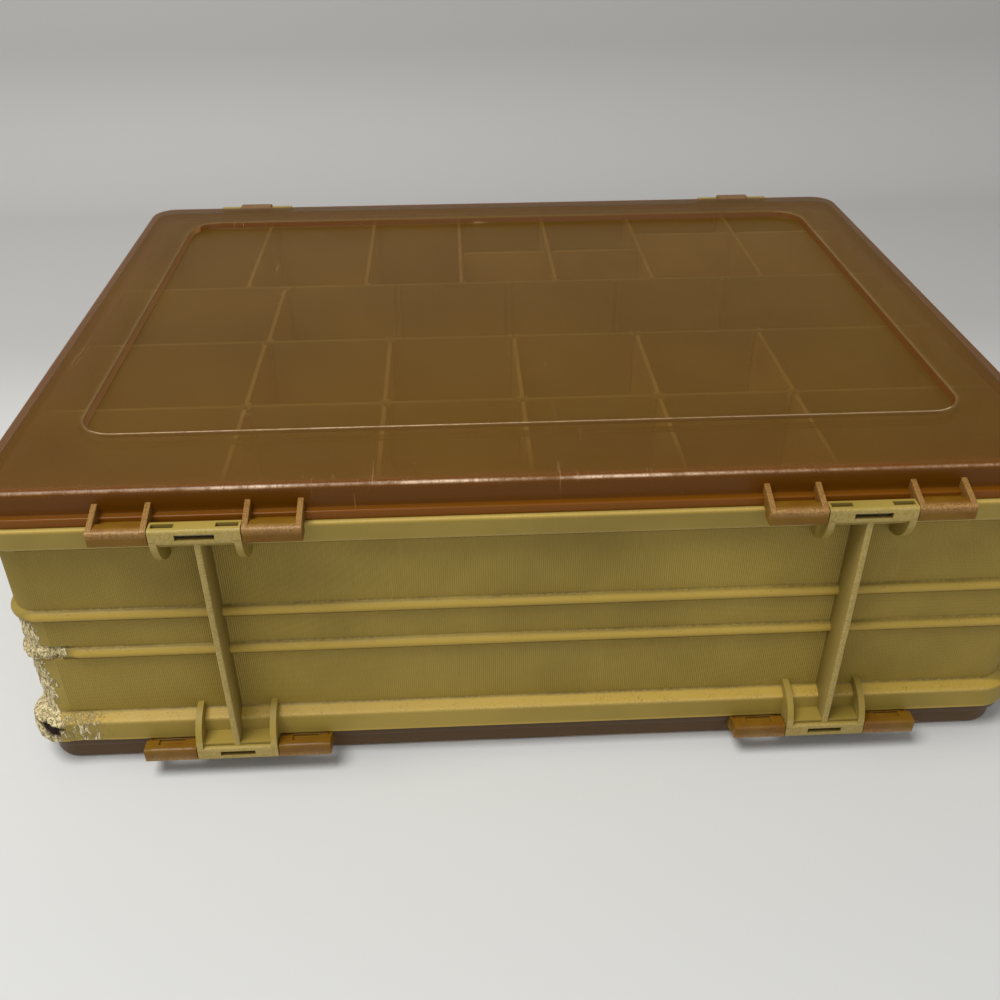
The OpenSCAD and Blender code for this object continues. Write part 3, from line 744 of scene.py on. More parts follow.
def stage_finish(colours):
    """Plain pale paint for the stage, with painted shade that darkens it from behind the box on"""
    f = Finish("stage_paint", colours.floor, Specular_IOR_Level=0.2, Roughness=0.6)
    # Painted shade: behind the box the floor takes the backdrop's darker colour
    f.cover(f.back().step(0.08, 0.26), colours.wall)
    return f.done()


FINISHES = {}


def finish_of(name):
    """Makes each finish once"""
    colours = bpy.context.scene.tackle_colours
    makers = {
        "tan": lambda: tan_finish(colours),
        "divider": lambda: divider_finish(colours),
        "lid_top": lambda: lid_finish(colours, "brown_clear_top", colours.lid_side, colours.lid_lip),
        # The lower lid takes the darker side and lip colours, a painted shade
        "lid_bottom": lambda: lid_finish(colours, "brown_clear_bottom", colours.shaded_low_side, colours.shaded_low_lip),
        "bracket": lambda: bracket_finish(colours),
        "steel": lambda: steel_finish(colours),
    }
    if name not in FINISHES:
        FINISHES[name] = makers[name]()
    return FINISHES[name]


# ---- wear on the tub ----

def off_corner(points, m):
    """X and Y of points from the middle of the front left corner's round"""
    return points[..., 0] + m.side_w / 2, points[..., 1] + m.side_d / 2


def along_front_left(points, m):
    """Distance round the wall from the middle of the front left corner, positive along the front.
    On the round it is the radius times the angle from the diagonal; beyond, the straight run is added.
    Points inside both runs are far from it."""
    dx, dy = off_corner(points, m)
    angle = np.arctan2(np.maximum(-dy, 0), np.maximum(-dx, 0)) - math.pi / 4
    bend = m.wall_r * math.pi / 4
    on_wall = np.where(dx > 0, dx + bend, np.where(dy > 0, -dy - bend, m.wall_r * angle))
    return np.where((dx > 0) & (dy > 0), 1.0, on_wall)


def off_band(points, m):
    """Distance from the middle of the chewed band, where a distance on the left side counts less"""
    along = along_front_left(points, m)
    return np.where(along < 0, -0.4 * along, along)


def chew_at(points, m, wear, tub):
    """How strongly the corner is chewed, 0 to 1: a ragged band down the corner from just under the
    upper bead, longer along the lower bead, and scattered scuffs along the lower rim"""
    along, side, height = along_front_left(points, m), off_band(points, m), points[..., 2]
    ragged = lattice_noise(points, 6 * MM, 3) - 0.5
    fine = lattice_noise(points, 1.7 * MM, 5) - 0.5
    half = wear.band * (1 + 0.8 * ragged + 0.6 * fine)
    band = fade(side, 0.6 * half, 1.25 * half) * fade(height, wear.top - 5 * MM, wear.top + 2 * MM)
    reach = (wear.bead_reach + wear.band) * (1 + 0.25 * ragged)
    bead = fade(along, 0.45 * reach, reach) * smooth_step(along, -16 * MM, -9 * MM)
    bead = bead * (np.abs(height + m.bead) < tub.bead_r + 1 * MM)
    reach = (wear.rim_reach + wear.band) * (1 + 0.3 * ragged)
    scuffs = 0.45 * fade(along, 0.5 * reach, reach) * smooth_step(along, -14 * MM, -5 * MM)
    rim = np.maximum(fade(side, 4 * MM, 8 * MM), scuffs)
    rim = rim * smooth_step(-height, m.rim_low - 3 * MM, m.rim_low - 1 * MM)
    return np.clip(np.maximum(band, np.maximum(bead, rim)) * (1 + 0.8 * fine), 0, 1)


def hole_at(points, wear, m):
    """1 inside the small dark hole that leans down to the right in the lower rim's front face"""
    along, height = points[..., 0] - wear.hole_x, points[..., 2] - wear.hole_z
    away = np.hypot(along / wear.hole_l, (height + 0.15 * along) / wear.hole_h)
    away = away + 0.5 * (lattice_noise(points, 1.2 * MM, 11) - 0.5)
    outside = smooth_step(-points[..., 1], m.wall_d / 2 - 2.5 * MM, m.wall_d / 2 - 1.5 * MM)
    return fade(away, 0.7, 1.05) * outside


def bitten(points, out, m, wear, tub):
    """Outer points drawn in by the bites: the chewing times a depth that changes from tooth to tooth,
    never deeper than the wall behind allows. out is each point's distance outside the wall's face."""
    chew, height = chew_at(points, m, wear, tub), points[..., 2]
    teeth = lattice_noise(points * np.array([1, 1, 0.6]), 3 * MM, 17)
    torn = lattice_noise(points, 1.1 * MM, 23)
    on_rim = smooth_step(np.abs(height), m.rim_low - 2 * MM, m.rim_low)
    ridge = np.clip(out, 0, None) * (1 - on_rim)
    depth = chew * wear.depth * (0.3 + 1.1 * teeth + 0.7 * torn)
    depth = (1 - 0.7 * on_rim) * depth + chew * ridge * (0.15 + 0.6 * teeth)
    worn = smooth_step(-height, m.rim - 4 * MM, m.rim) * (height < 0) * (out > 0)
    depth = np.minimum(depth, np.clip(out + 0.68 * tub.wall_t, 0, None)) + worn * chew * wear.edge_cut
    depth = depth - chew * wear.swell * fade(np.abs(along_front_left(points, m)), 4 * MM, 10 * MM)
    depth = depth + hole_at(points, wear, m) * wear.hole_depth
    inward = np.clip(-np.stack(off_corner(points, m), axis=-1), 0, None)
    size = np.linalg.norm(inward, axis=-1, keepdims=True)
    moved = points.copy()
    moved[..., :2] += inward / np.maximum(size, 1e-6) * depth[..., None]
    return moved


def tub_marks(m, tub, wear):
    """Rules that paint the tub's skin for its finish"""

    def outside(p):
        """Distance outside the wall's faces along X or Y, whichever is larger"""
        return np.maximum(np.abs(p[:, 0]) - m.wall_w / 2, np.abs(p[:, 1]) - m.wall_d / 2)

    def chew(p):
        near = (along_front_left(p, m) < 60 * MM) & (outside(p) > -6 * MM)
        return chew_at(p, m, wear, tub) * near

    def grime(p):
        """A thin line where the rims and beads meet the wall, fading over 0.35 mm"""
        h, edge = np.abs(p[:, 2]), tub.bead_r + 0.2 * MM
        near = [np.exp(-np.abs(h - c) / (0.35 * MM)) for c in (m.rim_foot, m.bead + edge, m.bead - edge)]
        return np.max(near, axis=0) * (np.abs(outside(p) - 0.25 * MM) < 0.75 * MM)

    def settled(p):
        """Specks on the faces that look up: the lower rim's slope and the beads' tops"""
        h = p[:, 2]
        slope = smooth_step(-h, m.rim_foot, m.rim_low - 1 * MM) * fade(-h, m.rim_low, m.rim_low + 1 * MM)
        beads = [smooth_step(h - c, 0.2 * MM, 1.4 * MM) * (h - c < 3 * MM) for c in (m.bead, -m.bead)]
        return np.maximum(slope * (h < 0), 0.7 * np.max(beads, axis=0) * (outside(p) > 0.3 * MM))

    def crest(p):
        """Painted highlight on the beads, the lower rim's slope and the rims' outer edges, where the light
        from above falls
        """
        out, h = outside(p), p[:, 2]
        bead = smooth_step(out, 0.6 * MM, tub.bead_r) * (np.abs(np.abs(h) - m.bead) < tub.bead_r)
        slope = smooth_step(out, 0.2 * MM, 1 * MM) * smooth_step(-h, m.rim_foot, m.rim_low - 1.6 * MM)
        edge = smooth_step(out, tub.rim_out - 1.2 * MM, tub.rim_out - 0.2 * MM)
        edge = edge * (np.abs(np.abs(h) - m.rim) < 0.8 * MM)
        return np.max([0.9 * bead, slope * fade(-h, m.rim_low, m.rim_low + 0.8 * MM), 0.8 * edge], axis=0)

    def rubbed(p):
        """The very edges of the rims"""
        h, face = np.abs(p[:, 2]), tub.rim_out - tub.rim_draft
        near = np.max([fade(np.abs(h - c), 0.3 * MM, 0.9 * MM) for c in (m.rim, m.rim_low)], axis=0)
        return 0.6 * near * smooth_step(outside(p), face - 0.8 * MM, face - 0.2 * MM)

    return {"chew": chew, "hole": lambda p: hole_at(p, wear, m), "grime": grime, "settled": settled,
            "crest": crest, "rubbed": rubbed}


# ---- the tub ----

def filleted(corners):
    """Points of a line with rounded corners. A row is [out, height, radius, step]: a corner, the radius
    of its round, and how far apart points lie on the stretch that leads to it. The round's centre is
    radius / sin(half) from the corner, half being half of the angle between its two stretches."""
    corners = np.asarray(corners, float)
    points = corners[:1, :2]
    for here, after in zip(corners[1:], np.concatenate([corners[2:], corners[-1:]])):
        corner, radius = here[:2], here[2]
        turn = corner[None]
        if radius > 0:
            back, ahead = points[-1] - corner, after[:2] - corner
            back, ahead = back / np.linalg.norm(back), ahead / np.linalg.norm(ahead)
            half = math.acos(float(back @ ahead)) / 2
            middle = (back + ahead) / np.linalg.norm(back + ahead)
            centre = corner + middle * radius / math.sin(half)
            ends = [corner + side * radius / math.tan(half) - centre for side in (back, ahead)]
            start, end = (math.degrees(math.atan2(e[1], e[0])) for e in ends)
            turn = arc(centre, radius, start, start + (end - start + 180) % 360 - 180, 5)
        points = np.concatenate([points, straight(points[-1], turn[0], here[3]), turn])
    return points


def half_profile(m, tub):
    """Steps of [out, height] from the upper tray's floor over the tongue, rim, wall and bead to the
    middle of the wall"""
    foot, bead, top_r, inner = tub.bead_foot_r, m.bead, 0.5 * MM, -tub.wall_t
    tilt = math.degrees(math.asin(foot / (tub.bead_r + foot)))
    foot_h = (tub.bead_r + foot) * math.cos(math.radians(tilt))
    coarse, fine = 12 * MM, 0.8 * MM
    upper = filleted([
        [inner - 40 * MM, tub.floor_t / 2, 0, coarse], [inner, tub.floor_t / 2, top_r, 40 * MM],
        [inner, m.tongue, top_r, coarse], [m.tongue_in, m.tongue, top_r, coarse],
        [m.tongue_in, m.rim, 0, 3 * MM], [tub.rim_out, m.rim, tub.rim_edge_r, 1.2 * MM],
        [tub.rim_out - tub.rim_draft, m.rim_low, tub.rim_edge_r, fine],
        [0, m.rim_foot, foot, fine], [0, bead + foot_h, 0, fine]])
    return np.concatenate([
        upper[:-1],
        arc([foot, bead + foot_h], foot, 180, 270 - tilt, 4),
        arc([0, bead], tub.bead_r, 90 - tilt, -90 + tilt, 13)[1:-1],
        arc([foot, bead - foot_h], foot, 90 + tilt, 180, 4),
        straight([0, bead - foot_h], [0, 0], fine),
    ])


def tub_surface(m, tub, wear):
    """The tub's skin in one closed piece: the half profile, then its mirror image back to the lower
    tray's floor, carried round the walls, with the front left corner bitten away. Points lie close
    together where it is bitten. The first and last loops lie well inside the floor, so that one flat
    face can fill each."""
    upper = half_profile(m, tub)
    steps = np.concatenate([upper, [[0, 0]], upper[::-1] * np.array([1, -1])])
    fine, front_near, left_near = 0.8 * MM, 46 * MM, 22 * MM
    front = np.concatenate([np.arange(0, front_near, fine),
                            np.linspace(front_near, m.side_w, 26, endpoint=False)]) / m.side_w
    left = np.concatenate([np.linspace(0, m.side_d - left_near, 18, endpoint=False),
                           m.side_d - np.arange(left_near, 0, -fine)]) / m.side_d
    at = places([front, even(18), even(26), left], [12, 12, 12, 22])
    loops = rings(at, offset_profile(m.wall_w, m.wall_d, m.wall_r, steps))
    out = np.broadcast_to(steps[:, 0, None], loops.shape[:2])
    outer = out > -tub.wall_t / 2
    return skin(np.where(outer[..., None], bitten(loops, out, m, wear, tub), loops))


def band_surface(m, tub, wear, low, high):
    """Fine upright ribs round the wall between two heights: the wall's loop at even steps of half a
    pitch, every other point standing out by the rib's depth, closed to a thin sleeve. Where the corner
    is chewed the sleeve sinks under the torn skin."""
    sunk, flat = 0.35 * MM, 0.01 * MM      # of the sleeve's edges, and of the stretches between ribs
    counts = [2 * round(run / tub.rib_pitch) for run in (m.side_w, m.side_d, m.wall_r * math.pi / 2)]
    at = places([even(counts[0]), even(counts[1])] * 2, [counts[2]] * 4)
    profile = offset_profile(m.wall_w, m.wall_d, m.wall_r,
                             [[-sunk, low], [0, low], [0, high], [-sunk, high]])
    loops = rings(at, profile)
    angle = math.pi / 2 * (at[:, 0] - 1 + at[:, 2])
    outward = np.column_stack([np.cos(angle), np.sin(angle)])
    rib = np.where(np.arange(len(at)) % 2 == 0, tub.rib_depth, flat)
    clear = smooth_step(off_band(loops[1], m), 1.3 * wear.band, 1.6 * wear.band)
    clear = np.where(low > wear.top, 1.0, clear)
    rib = clear * rib - (1 - clear) * (sunk + wear.depth)
    for loop, out in zip(loops, (np.minimum(rib, 0), rib, rib, np.minimum(rib, 0))):
        loop[:, :2] += out[:, None] * outward
    return closed_sleeve(loops)


def closed_sleeve(loops):
    """Joins four loops in a ring of faces, the last one back to the first"""
    stations, around = loops.shape[:2]
    index = np.arange(stations * around).reshape(stations, around)
    after, above = np.roll(index, -1, axis=1), np.roll(index, -1, axis=0)
    both = np.roll(after, -1, axis=0)
    quads = np.stack([index, after, both, above], axis=-1).reshape(-1, 4)
    return Surface(loops.reshape(-1, 3), quads.ravel(), np.full(len(quads), 4))


def guide_ribs(tub, xs):
    """Left and right side of the two guide ribs of each slot"""
    off = tub.divider_t / 2 + tub.divider_play + tub.guide_w / 2
    middles = [x + s * off for x in sorted(xs) for s in (LEFT, RIGHT)]
    return [(x - tub.guide_w / 2, x + tub.guide_w / 2) for x in middles]


def ribbed_wall(m, tub, y, front_xs, back_xs, low, high):
    """A lengthwise tray wall with a pair of guide ribs at each slot. Its outline, seen from above, runs
    along the front face, stepping out at every rib, and back along the rear face."""
    half, end = tub.inner_wall_t / 2, m.tray_w / 2 + EMBED

    def face(xs, side):
        near, far = side * half, side * (half + tub.guide_out)
        points = [[-end, near]]
        for left, right in guide_ribs(tub, xs):
            points += [[left, near], [left, far], [right, far], [right, near]]
        return points + [[end, near]]

    outline = np.array(face(front_xs, -1) + face(back_xs, 1)[::-1]) + np.array([0, y])
    return prism(outline, low, high)


def guide_posts(tub, y, side, xs, low, high):
    """Pairs of guide ribs on an outer wall's inner face; side says which way they stand out"""
    near, far = sorted([y - side * EMBED, y + side * tub.guide_out])
    return [block([left, near, low], [right, far, high]) for left, right in guide_ribs(tub, xs)]


def tray_surface(m, tub):
    """All lengthwise walls and guide ribs of both trays. A wall's row is its place and the slots on its
    front and rear faces."""
    low, high = tub.floor_t / 2 - EMBED, m.tongue - 0.3 * MM
    row_a, row_b, row_d = ([middle_of(name, 0) for name in names] for names in (ROW_A, ROW_B, ROW_D))
    third = [middle_of("divider_c1", 0)] + row_a[1:]
    lower = [middle_of(LOWER[0], 0)]
    trays = {1: [(tub.front_wall_y, row_a, row_b), (tub.middle_wall_y, row_b, third),
                 (tub.rear_wall_y, third, row_d)],
             -1: [(-tub.lower_wall_y, lower, lower), (tub.lower_wall_y, lower, lower)]}
    parts = []
    for side, walls in trays.items():
        pieces = [ribbed_wall(m, tub, *wall, low, high) for wall in walls]
        pieces += guide_posts(tub, -m.tray_d / 2, 1, walls[0][1], low, high)
        pieces += guide_posts(tub, m.tray_d / 2, -1, walls[-1][2], low, high)
        parts += [piece.on(side) for piece in pieces]
    return joined(parts)


# ---- hinges ----

def notched_square(side, edge_r, front=0.0, top=0.0, window_h=0.0, under=0.0):
    """Outline of a bar about its pin, as [y, z]: a square with round edges, cut in by a slot in its
    front face, a slot in its top face and a step under its rear half"""
    half, w = side / 2, window_h / 2
    inner = half - edge_r
    if under:
        rear = np.linspace([half, -half + under], [0, -half + under], 5)
    else:
        rear = arc([inner, -inner], edge_r, 0, -90, 5)
    return np.concatenate([
        arc([-inner, -inner], edge_r, 270, 180, 5),
        [[-half, -w], [-half + front, -w], [-half + front, w], [-half, w]],
        arc([-inner, inner], edge_r, 180, 90, 5),
        [[-w, half], [-w, half - top], [w, half - top], [w, half]],
        arc([inner, inner], edge_r, 90, 0, 5),
        [[half, -inner + 0.2 * MM], [half, -half + max(under, edge_r)]],
        rear,
        [[0, -half + under], [0, -half]],
    ])


def slotted_bar(outline_of, cuts, end):
    """A bar along X from -end to end whose outline changes sharply at each cut; outline_of gives the
    outline at a place between two cuts"""
    edges = [-end] + sorted(cuts) + [end]
    stations, outlines = [], []
    for low, high in zip(edges[:-1], edges[1:]):
        shape = outline_of((low + high) / 2)
        stations += [low, high]
        outlines += [shape, shape]
    return bar(np.stack(outlines), stations)


def knuckle_surface(hinge):
    """The tub's knuckle: a square bar with a slot in front and two on top"""
    front, end, depth = hinge.window_l / 2, hinge.knuckle_l / 2, hinge.bar_d / 2
    top_out = end - hinge.end_wall
    top_in = top_out - hinge.top_window_l

    def outline(x):
        return notched_square(hinge.bar_d, hinge.bar_edge_r, depth * (abs(x) < front),
                              depth * (top_in < abs(x) < top_out), hinge.window_h)

    cuts = [side * cut for side in (LEFT, RIGHT) for cut in (front, top_in, top_out)]
    return slotted_bar(outline, cuts, end)


def slot_shade(points, m, hinge):
    """1 deep inside the knuckles' slots, where hardly any light comes"""
    x = np.abs(np.abs(points[:, 0]) - m.hinge_x)
    y, z = np.abs(points[:, 1] - m.bar_y), np.abs(np.abs(points[:, 2]) - m.hinge_h)
    inside = np.maximum(y, z) < hinge.bar_d / 2 - 1 * MM
    return 1.0 * inside * (x < hinge.knuckle_l / 2 - 0.5 * hinge.end_wall)


def knuckle_front(points, m, hinge):
    """1 on the front faces of the knuckles and arms, 0 from 1 mm behind them"""
    front = m.bar_y - hinge.bar_d / 2
    return fade(points[:, 1], front + 0.3 * MM, front + 1 * MM)


def arm_outline(m, hinge):
    """An arm as [y, z] about the pin: straight down from the knuckle, a quarter round to the wall, and
    level with the rim on top"""
    half, edge = hinge.bar_d / 2, 0.6 * MM
    wall = -m.wall_d / 2 - m.bar_y
    back = wall + 1 * MM
    return np.concatenate([
        [[-half + edge, -hinge.up], [-half, -hinge.up - edge]],
        arc([wall, -half / 2], hinge.arm_drop - half / 2, 180, 270, 14),
        [[back, -hinge.arm_drop], [back, -hinge.up]]])


def scuffed_edge(surface, face_y, depth, seed):
    """Draws points near the front face back by fine noise, as an edge that was dragged over concrete"""
    points = surface.points.copy()
    rough = lattice_noise(points, 0.9 * MM, seed) * 0.6 + lattice_noise(points, 0.4 * MM, seed + 1) * 0.4
    points[:, 1] += fade(points[:, 1], face_y, face_y + 0.6 * MM) * rough * depth
    return Surface(points, surface.corners, surface.counts)


def fin_front(m, hinge):
    """Where the fins' front edges stand"""
    return m.bar_y - hinge.bar_d / 2 + hinge.fin_back


def fin_surface(m, hinge, x, seed):
    """The upright fin: a thin plate from the wall to just behind the knuckles' faces, with a round-cornered
    section carried up in small steps so that its worn front edge can be uneven"""
    top = m.hinge_h - hinge.bar_d / 2 + EMBED
    front, back = fin_front(m, hinge), -m.wall_d / 2 + 0.6 * MM
    section = round_rect(hinge.fin_t, back - front, 0.5 * MM, 4) + np.array([x, (front + back) / 2])
    loops = np.stack([np.column_stack([section, np.full(len(section), z)])
                      for z in np.linspace(-top, top, 160)])
    return scuffed_edge(skin(loops), front, 0.35 * MM, seed)


def post_surface(m, tub, hinge):
    """Both hinges' fixed parts on one face of the tub: knuckles, arms and the webs behind the knuckles"""
    half, end = hinge.bar_d / 2, hinge.knuckle_l / 2
    web_end, web_t, web_z = end - 1 * MM, hinge.arm_t / 2, m.hinge_h - half
    web_back = -m.wall_d / 2 - tub.rim_out + 0.5 * MM
    arm = arm_outline(m, hinge)
    parts = []
    for x in (-m.hinge_x, m.hinge_x):
        pieces = [knuckle_surface(hinge)]
        pieces += [bar(arm, sorted([s * (end - 0.05 * MM), s * (end - hinge.arm_t)])) for s in (LEFT, RIGHT)]
        parts += [piece.moved(x, m.bar_y, m.hinge_h) for piece in pieces]
        parts.append(block([x - web_end, m.bar_y - half / 2, web_z - web_t],
                           [x + web_end, web_back, web_z + web_t]))
    return joined(parts)


def bracket_surface(m, hinge):
    """A lid bracket about the pin: a bar with a step under it, two ribs up the lid's side, and a shelf
    with a window behind the bar"""
    half, end, notch = hinge.bar_d / 2, hinge.bracket_l / 2, hinge.notch_l / 2
    face, foot = -(m.bar_y + m.lid_d / 2), hinge.play - hinge.up
    edge, inside = half - hinge.bar_edge_r, face + 0.3 * MM

    def outline(x):
        return notched_square(hinge.bar_d, hinge.bar_edge_r, under=hinge.notch_d * (abs(x) < notch))

    rib = np.array([[-edge, half], [-edge, -edge], [edge, -edge], [half, foot], [inside, foot],
                    [inside, hinge.rib_rise], [face, hinge.rib_rise]])
    ribs = [bar(rib, sorted([s * (end - 0.02 * MM), s * (end - hinge.rib_t)])) for s in (LEFT, RIGHT)]
    wide, window = end - 1 * MM, end - 3.25 * MM
    near, far = half - 0.5 * MM, half + 2 * MM
    shelf = np.array([[-wide, near], [-window, near], [-window, far], [window, far], [window, near],
                      [wide, near], [wide, inside], [-wide, inside]])
    return joined([slotted_bar(outline, [-notch, notch], end), *ribs,
                   prism(shelf, foot, foot + hinge.shelf_t)])


def bracket_rubbed(points, m, hinge):
    """Rubbed pale: the bars' front top edges, and the ribs above the bars"""
    y, z = points[:, 1] - m.bar_y, np.abs(points[:, 2]) - m.hinge_h
    half = hinge.bar_d / 2
    edge = fade(np.hypot(y + half, z - half), 0.7 * MM, 1.6 * MM)
    return np.maximum(edge, 0.6 * smooth_step(z, half + 0.3 * MM, half + 1 * MM))


# ---- lids ----

def lid_surface(m, tub, lid):
    """A lid's shell in one closed piece, drawn from the middle of the panel's underside: out under the
    panel and the raised border, down the inside, round the lip, up the outside, over the top edge and
    down the step to the panel."""
    r, lip_r, step_r, e = lid.edge_r, lid.lip_edge_r, lid.panel_edge_r, 0.35 * MM
    top, under, lip_top, lean = m.top, m.top - lid.top_t, m.rim + lid.lip_h, lid.panel_slope
    panel_top, middle = top - lid.panel_sink, -60 * MM
    panel_low = panel_top - lid.top_t
    outer = np.concatenate([
        [[-lid.side_t - e, under]], arc([-lid.side_t - e, under - e], e, 90, 0, 4),
        straight([-lid.side_t, under], [-lid.side_t, m.rim], 3 * MM),
        arc([-lid.side_t + e, m.rim + e], e, 180, 270, 3),
        arc([lid.lip_out - lip_r, m.rim + lip_r], lip_r, -90, 0, 4),
        arc([lid.lip_out - lip_r, lip_top - lip_r], lip_r, 0, 90, 4),
        arc([e, lip_top + e], e, 270, 180, 3),
        straight([0, lip_top + e], [0, top - r], 1.2 * MM),
        arc([-r, top - r], r, 0, 90, 9),
        straight([-r, top], [-8 * MM, top], 1 * MM)])
    inner_panel = np.concatenate([
        [[middle, panel_low], [-2 * MM, panel_low]],
        arc([lid.top_t - e, panel_low + e], e, 270, 360, 3), [[lid.top_t, under - e]],
        arc([lid.top_t + e, under - e], e, 180, 90, 3)])
    outer_panel = np.concatenate([
        [[step_r + 3 * MM, top], [step_r + 1.2 * MM, top], [step_r + 0.5 * MM, top]],
        arc([step_r, top - step_r], step_r, 90, 165, 6),
        arc([-lean - step_r, panel_top + step_r], step_r, -15, -90, 6),
        [[-lean - 1.2 * MM, panel_top], [-lean - 2 * MM, panel_top], [middle, panel_top]]])
    inner_panel, outer_panel = (
        offset_profile(m.panel_w, m.panel_d, lid.panel_corner_r, steps) + [0, 0, 0, 0, m.panel_y]
        for steps in (inner_panel, outer_panel))
    profile = [inner_panel, offset_profile(m.lid_w, m.lid_d, tub.corner_r, outer), outer_panel]
    at = places([even(60), even(44)] * 2, [14] * 4)
    return skin(rings(at, np.concatenate(profile)))


def lid_marks(m, tub, lid):
    """Rules that paint a lid for its finish: its thick side, lip and step, the rubbed edge of the step,
    which is partly a painted highlight along the front, the white specks along its front top edge, and
    a painted highlight along that edge and the step's front edge"""
    front, panel_left, panel_front = -m.lid_d / 2, -m.panel_w / 2, m.panel_y - m.panel_d / 2
    lip_top = m.rim + lid.lip_h

    def outside(p):
        return round_rect_distance(p, m.lid_w / 2, m.lid_d / 2, tub.corner_r)

    def off_panel(p):
        return round_rect_distance(p, m.panel_w / 2, m.panel_d / 2, lid.panel_corner_r, m.panel_y)

    def step_edge(p, width):
        """Round the step's top edge, fading over a width"""
        return bell(off_panel(p) - 0.4 * MM, width) * (np.abs(p[:, 2]) > m.top - 0.4 * MM)

    def patches(p, size, seed):
        """Noise that changes along the front only"""
        return lattice_noise(p * np.array([1, 0, 0]), size, seed)

    def thick(p):
        return 0.95 * smooth_step(outside(p), -6 * MM, -1 * MM)

    def lip(p):
        low = fade(np.abs(p[:, 2]), lip_top - 0.4 * MM, lip_top + 0.4 * MM)
        return low * smooth_step(outside(p), 0.2 * MM, 1 * MM)

    def step(p):
        deep = m.top - np.abs(p[:, 2])
        wall = (deep > 0.3 * MM) & (deep < lid.panel_sink - 0.3 * MM)
        return 1.0 * wall * (np.abs(off_panel(p)) < 1.1 * MM)

    def pale_step(p):
        return step(p) * (p[:, 0] < panel_left + 3 * MM)

    # Real wear along the step's edge, made strongest along the front, where it also stands for a painted
    # highlight
    def edge_wear(p):
        side = np.where(np.abs(p[:, 0]) > -panel_left - 12 * MM, 0.4, 0.2)
        patch = 0.55 + 0.45 * lattice_noise(p, 19 * MM, 7)
        return step_edge(p, 0.7 * MM) * patch * np.where(p[:, 1] < panel_front + 2 * MM, 1, side)

    def front_wear(p):
        near = np.exp(-np.abs(p[:, 1] - front - 1 * MM) / (2.6 * MM))
        near = near * smooth_step(np.abs(p[:, 2]), m.top - 3 * MM, m.top - 0.8 * MM)
        return near * (0.35 + 0.65 * patches(p, 23 * MM, 41))

    # Painted highlight: a bright line along the front top edge, brightest left of the middle and fading to
    # the right, and along the step's front edge
    def edge_line(p):
        x, y, h = p[:, 0], p[:, 1], np.abs(p[:, 2])
        line = bell(np.hypot(y - front - 0.45 * MM, h - m.top + 0.5 * MM), 0.45 * MM)
        line = line * (0.3 + 0.7 * smooth_step(patches(p, 31 * MM, 43), 0.2, 0.6))
        line = 1.3 * line * (1 - 0.7 * smooth_step(x, 30 * MM, 80 * MM))
        bright = 0.5 + 0.8 * bell(x + 75 * MM, 60 * MM)
        return np.maximum(line, step_edge(p, 0.5 * MM) * (y < panel_front + 2 * MM) * bright)

    rules = (thick, lip, step, pale_step, edge_wear, front_wear, edge_line)
    return {rule.__name__: rule for rule in rules}


def lobe(radius, back):
    """Outline of a block that ends in a round about the pin, as [y, z]; back is its other end"""
    return np.concatenate([arc([0, 0], radius, -90, 90, 17), [[-back, radius], [-back, -radius]]])


def lug_surface(m, handle):
    """The lid's lug for a latch: a block from the lid's side that ends in a round about the pin"""
    outline = lobe(handle.lug_r, LATCH[1] - m.lid_d / 2 + EMBED)
    return bar(outline, [-handle.lug_w / 2, handle.lug_w / 2])


def latch_surface(m, tub, handle):
    """A latch about its pin: a bowed plate that ends in a claw under the rim and a finger tab, an eye
    at each side of the lid's lug, and three ridges for the finger"""
    t, low, play, claw_h = handle.latch_t / 2, -handle.latch_l, handle.side_play, handle.claw_h
    side, tab = handle.latch_w / 2, handle.latch_t / 2 + handle.tab_out
    claw_in = -(LATCH[1] - m.wall_d / 2 - tub.rim_out - play)
    claw_top = m.rim_low - play - m.latch_h
    edge, neck_low = 0.7 * MM, -handle.lug_r - play
    plate = np.array([
        [-t, claw_top - claw_h], [claw_in, claw_top - claw_h], [claw_in, claw_top - edge],
        [claw_in + edge, claw_top], [-t, claw_top], [-t, neck_low], [t, neck_low], [t, low + claw_h],
        [tab, low + claw_h - 0.5 * MM], [tab, low], [-t, low]])
    neck = math.degrees(math.acos(t / handle.latch_eye_r))
    eye = np.concatenate([arc([0, 0], handle.latch_eye_r, -neck, 180 + neck, 25),
                          [[-t, -handle.lug_r - 1 * MM], [t, -handle.lug_r - 1 * MM]]])
    eyes = [bar(eye, sorted([s * (handle.lug_w / 2 + play), s * (side - 0.02 * MM)])) for s in (LEFT, RIGHT)]
    ridge, ridge_end = 1.2 * MM, side - 4 * MM
    ridges = [block([-ridge_end, t - 0.3 * MM, z], [ridge_end, t + 0.5 * MM, z + ridge])
              for z in low + 6 * MM + 2.6 * MM * np.arange(3)]
    return joined([bar(plate, [-side, side]), *eyes, *ridges])


# ---- handle ----

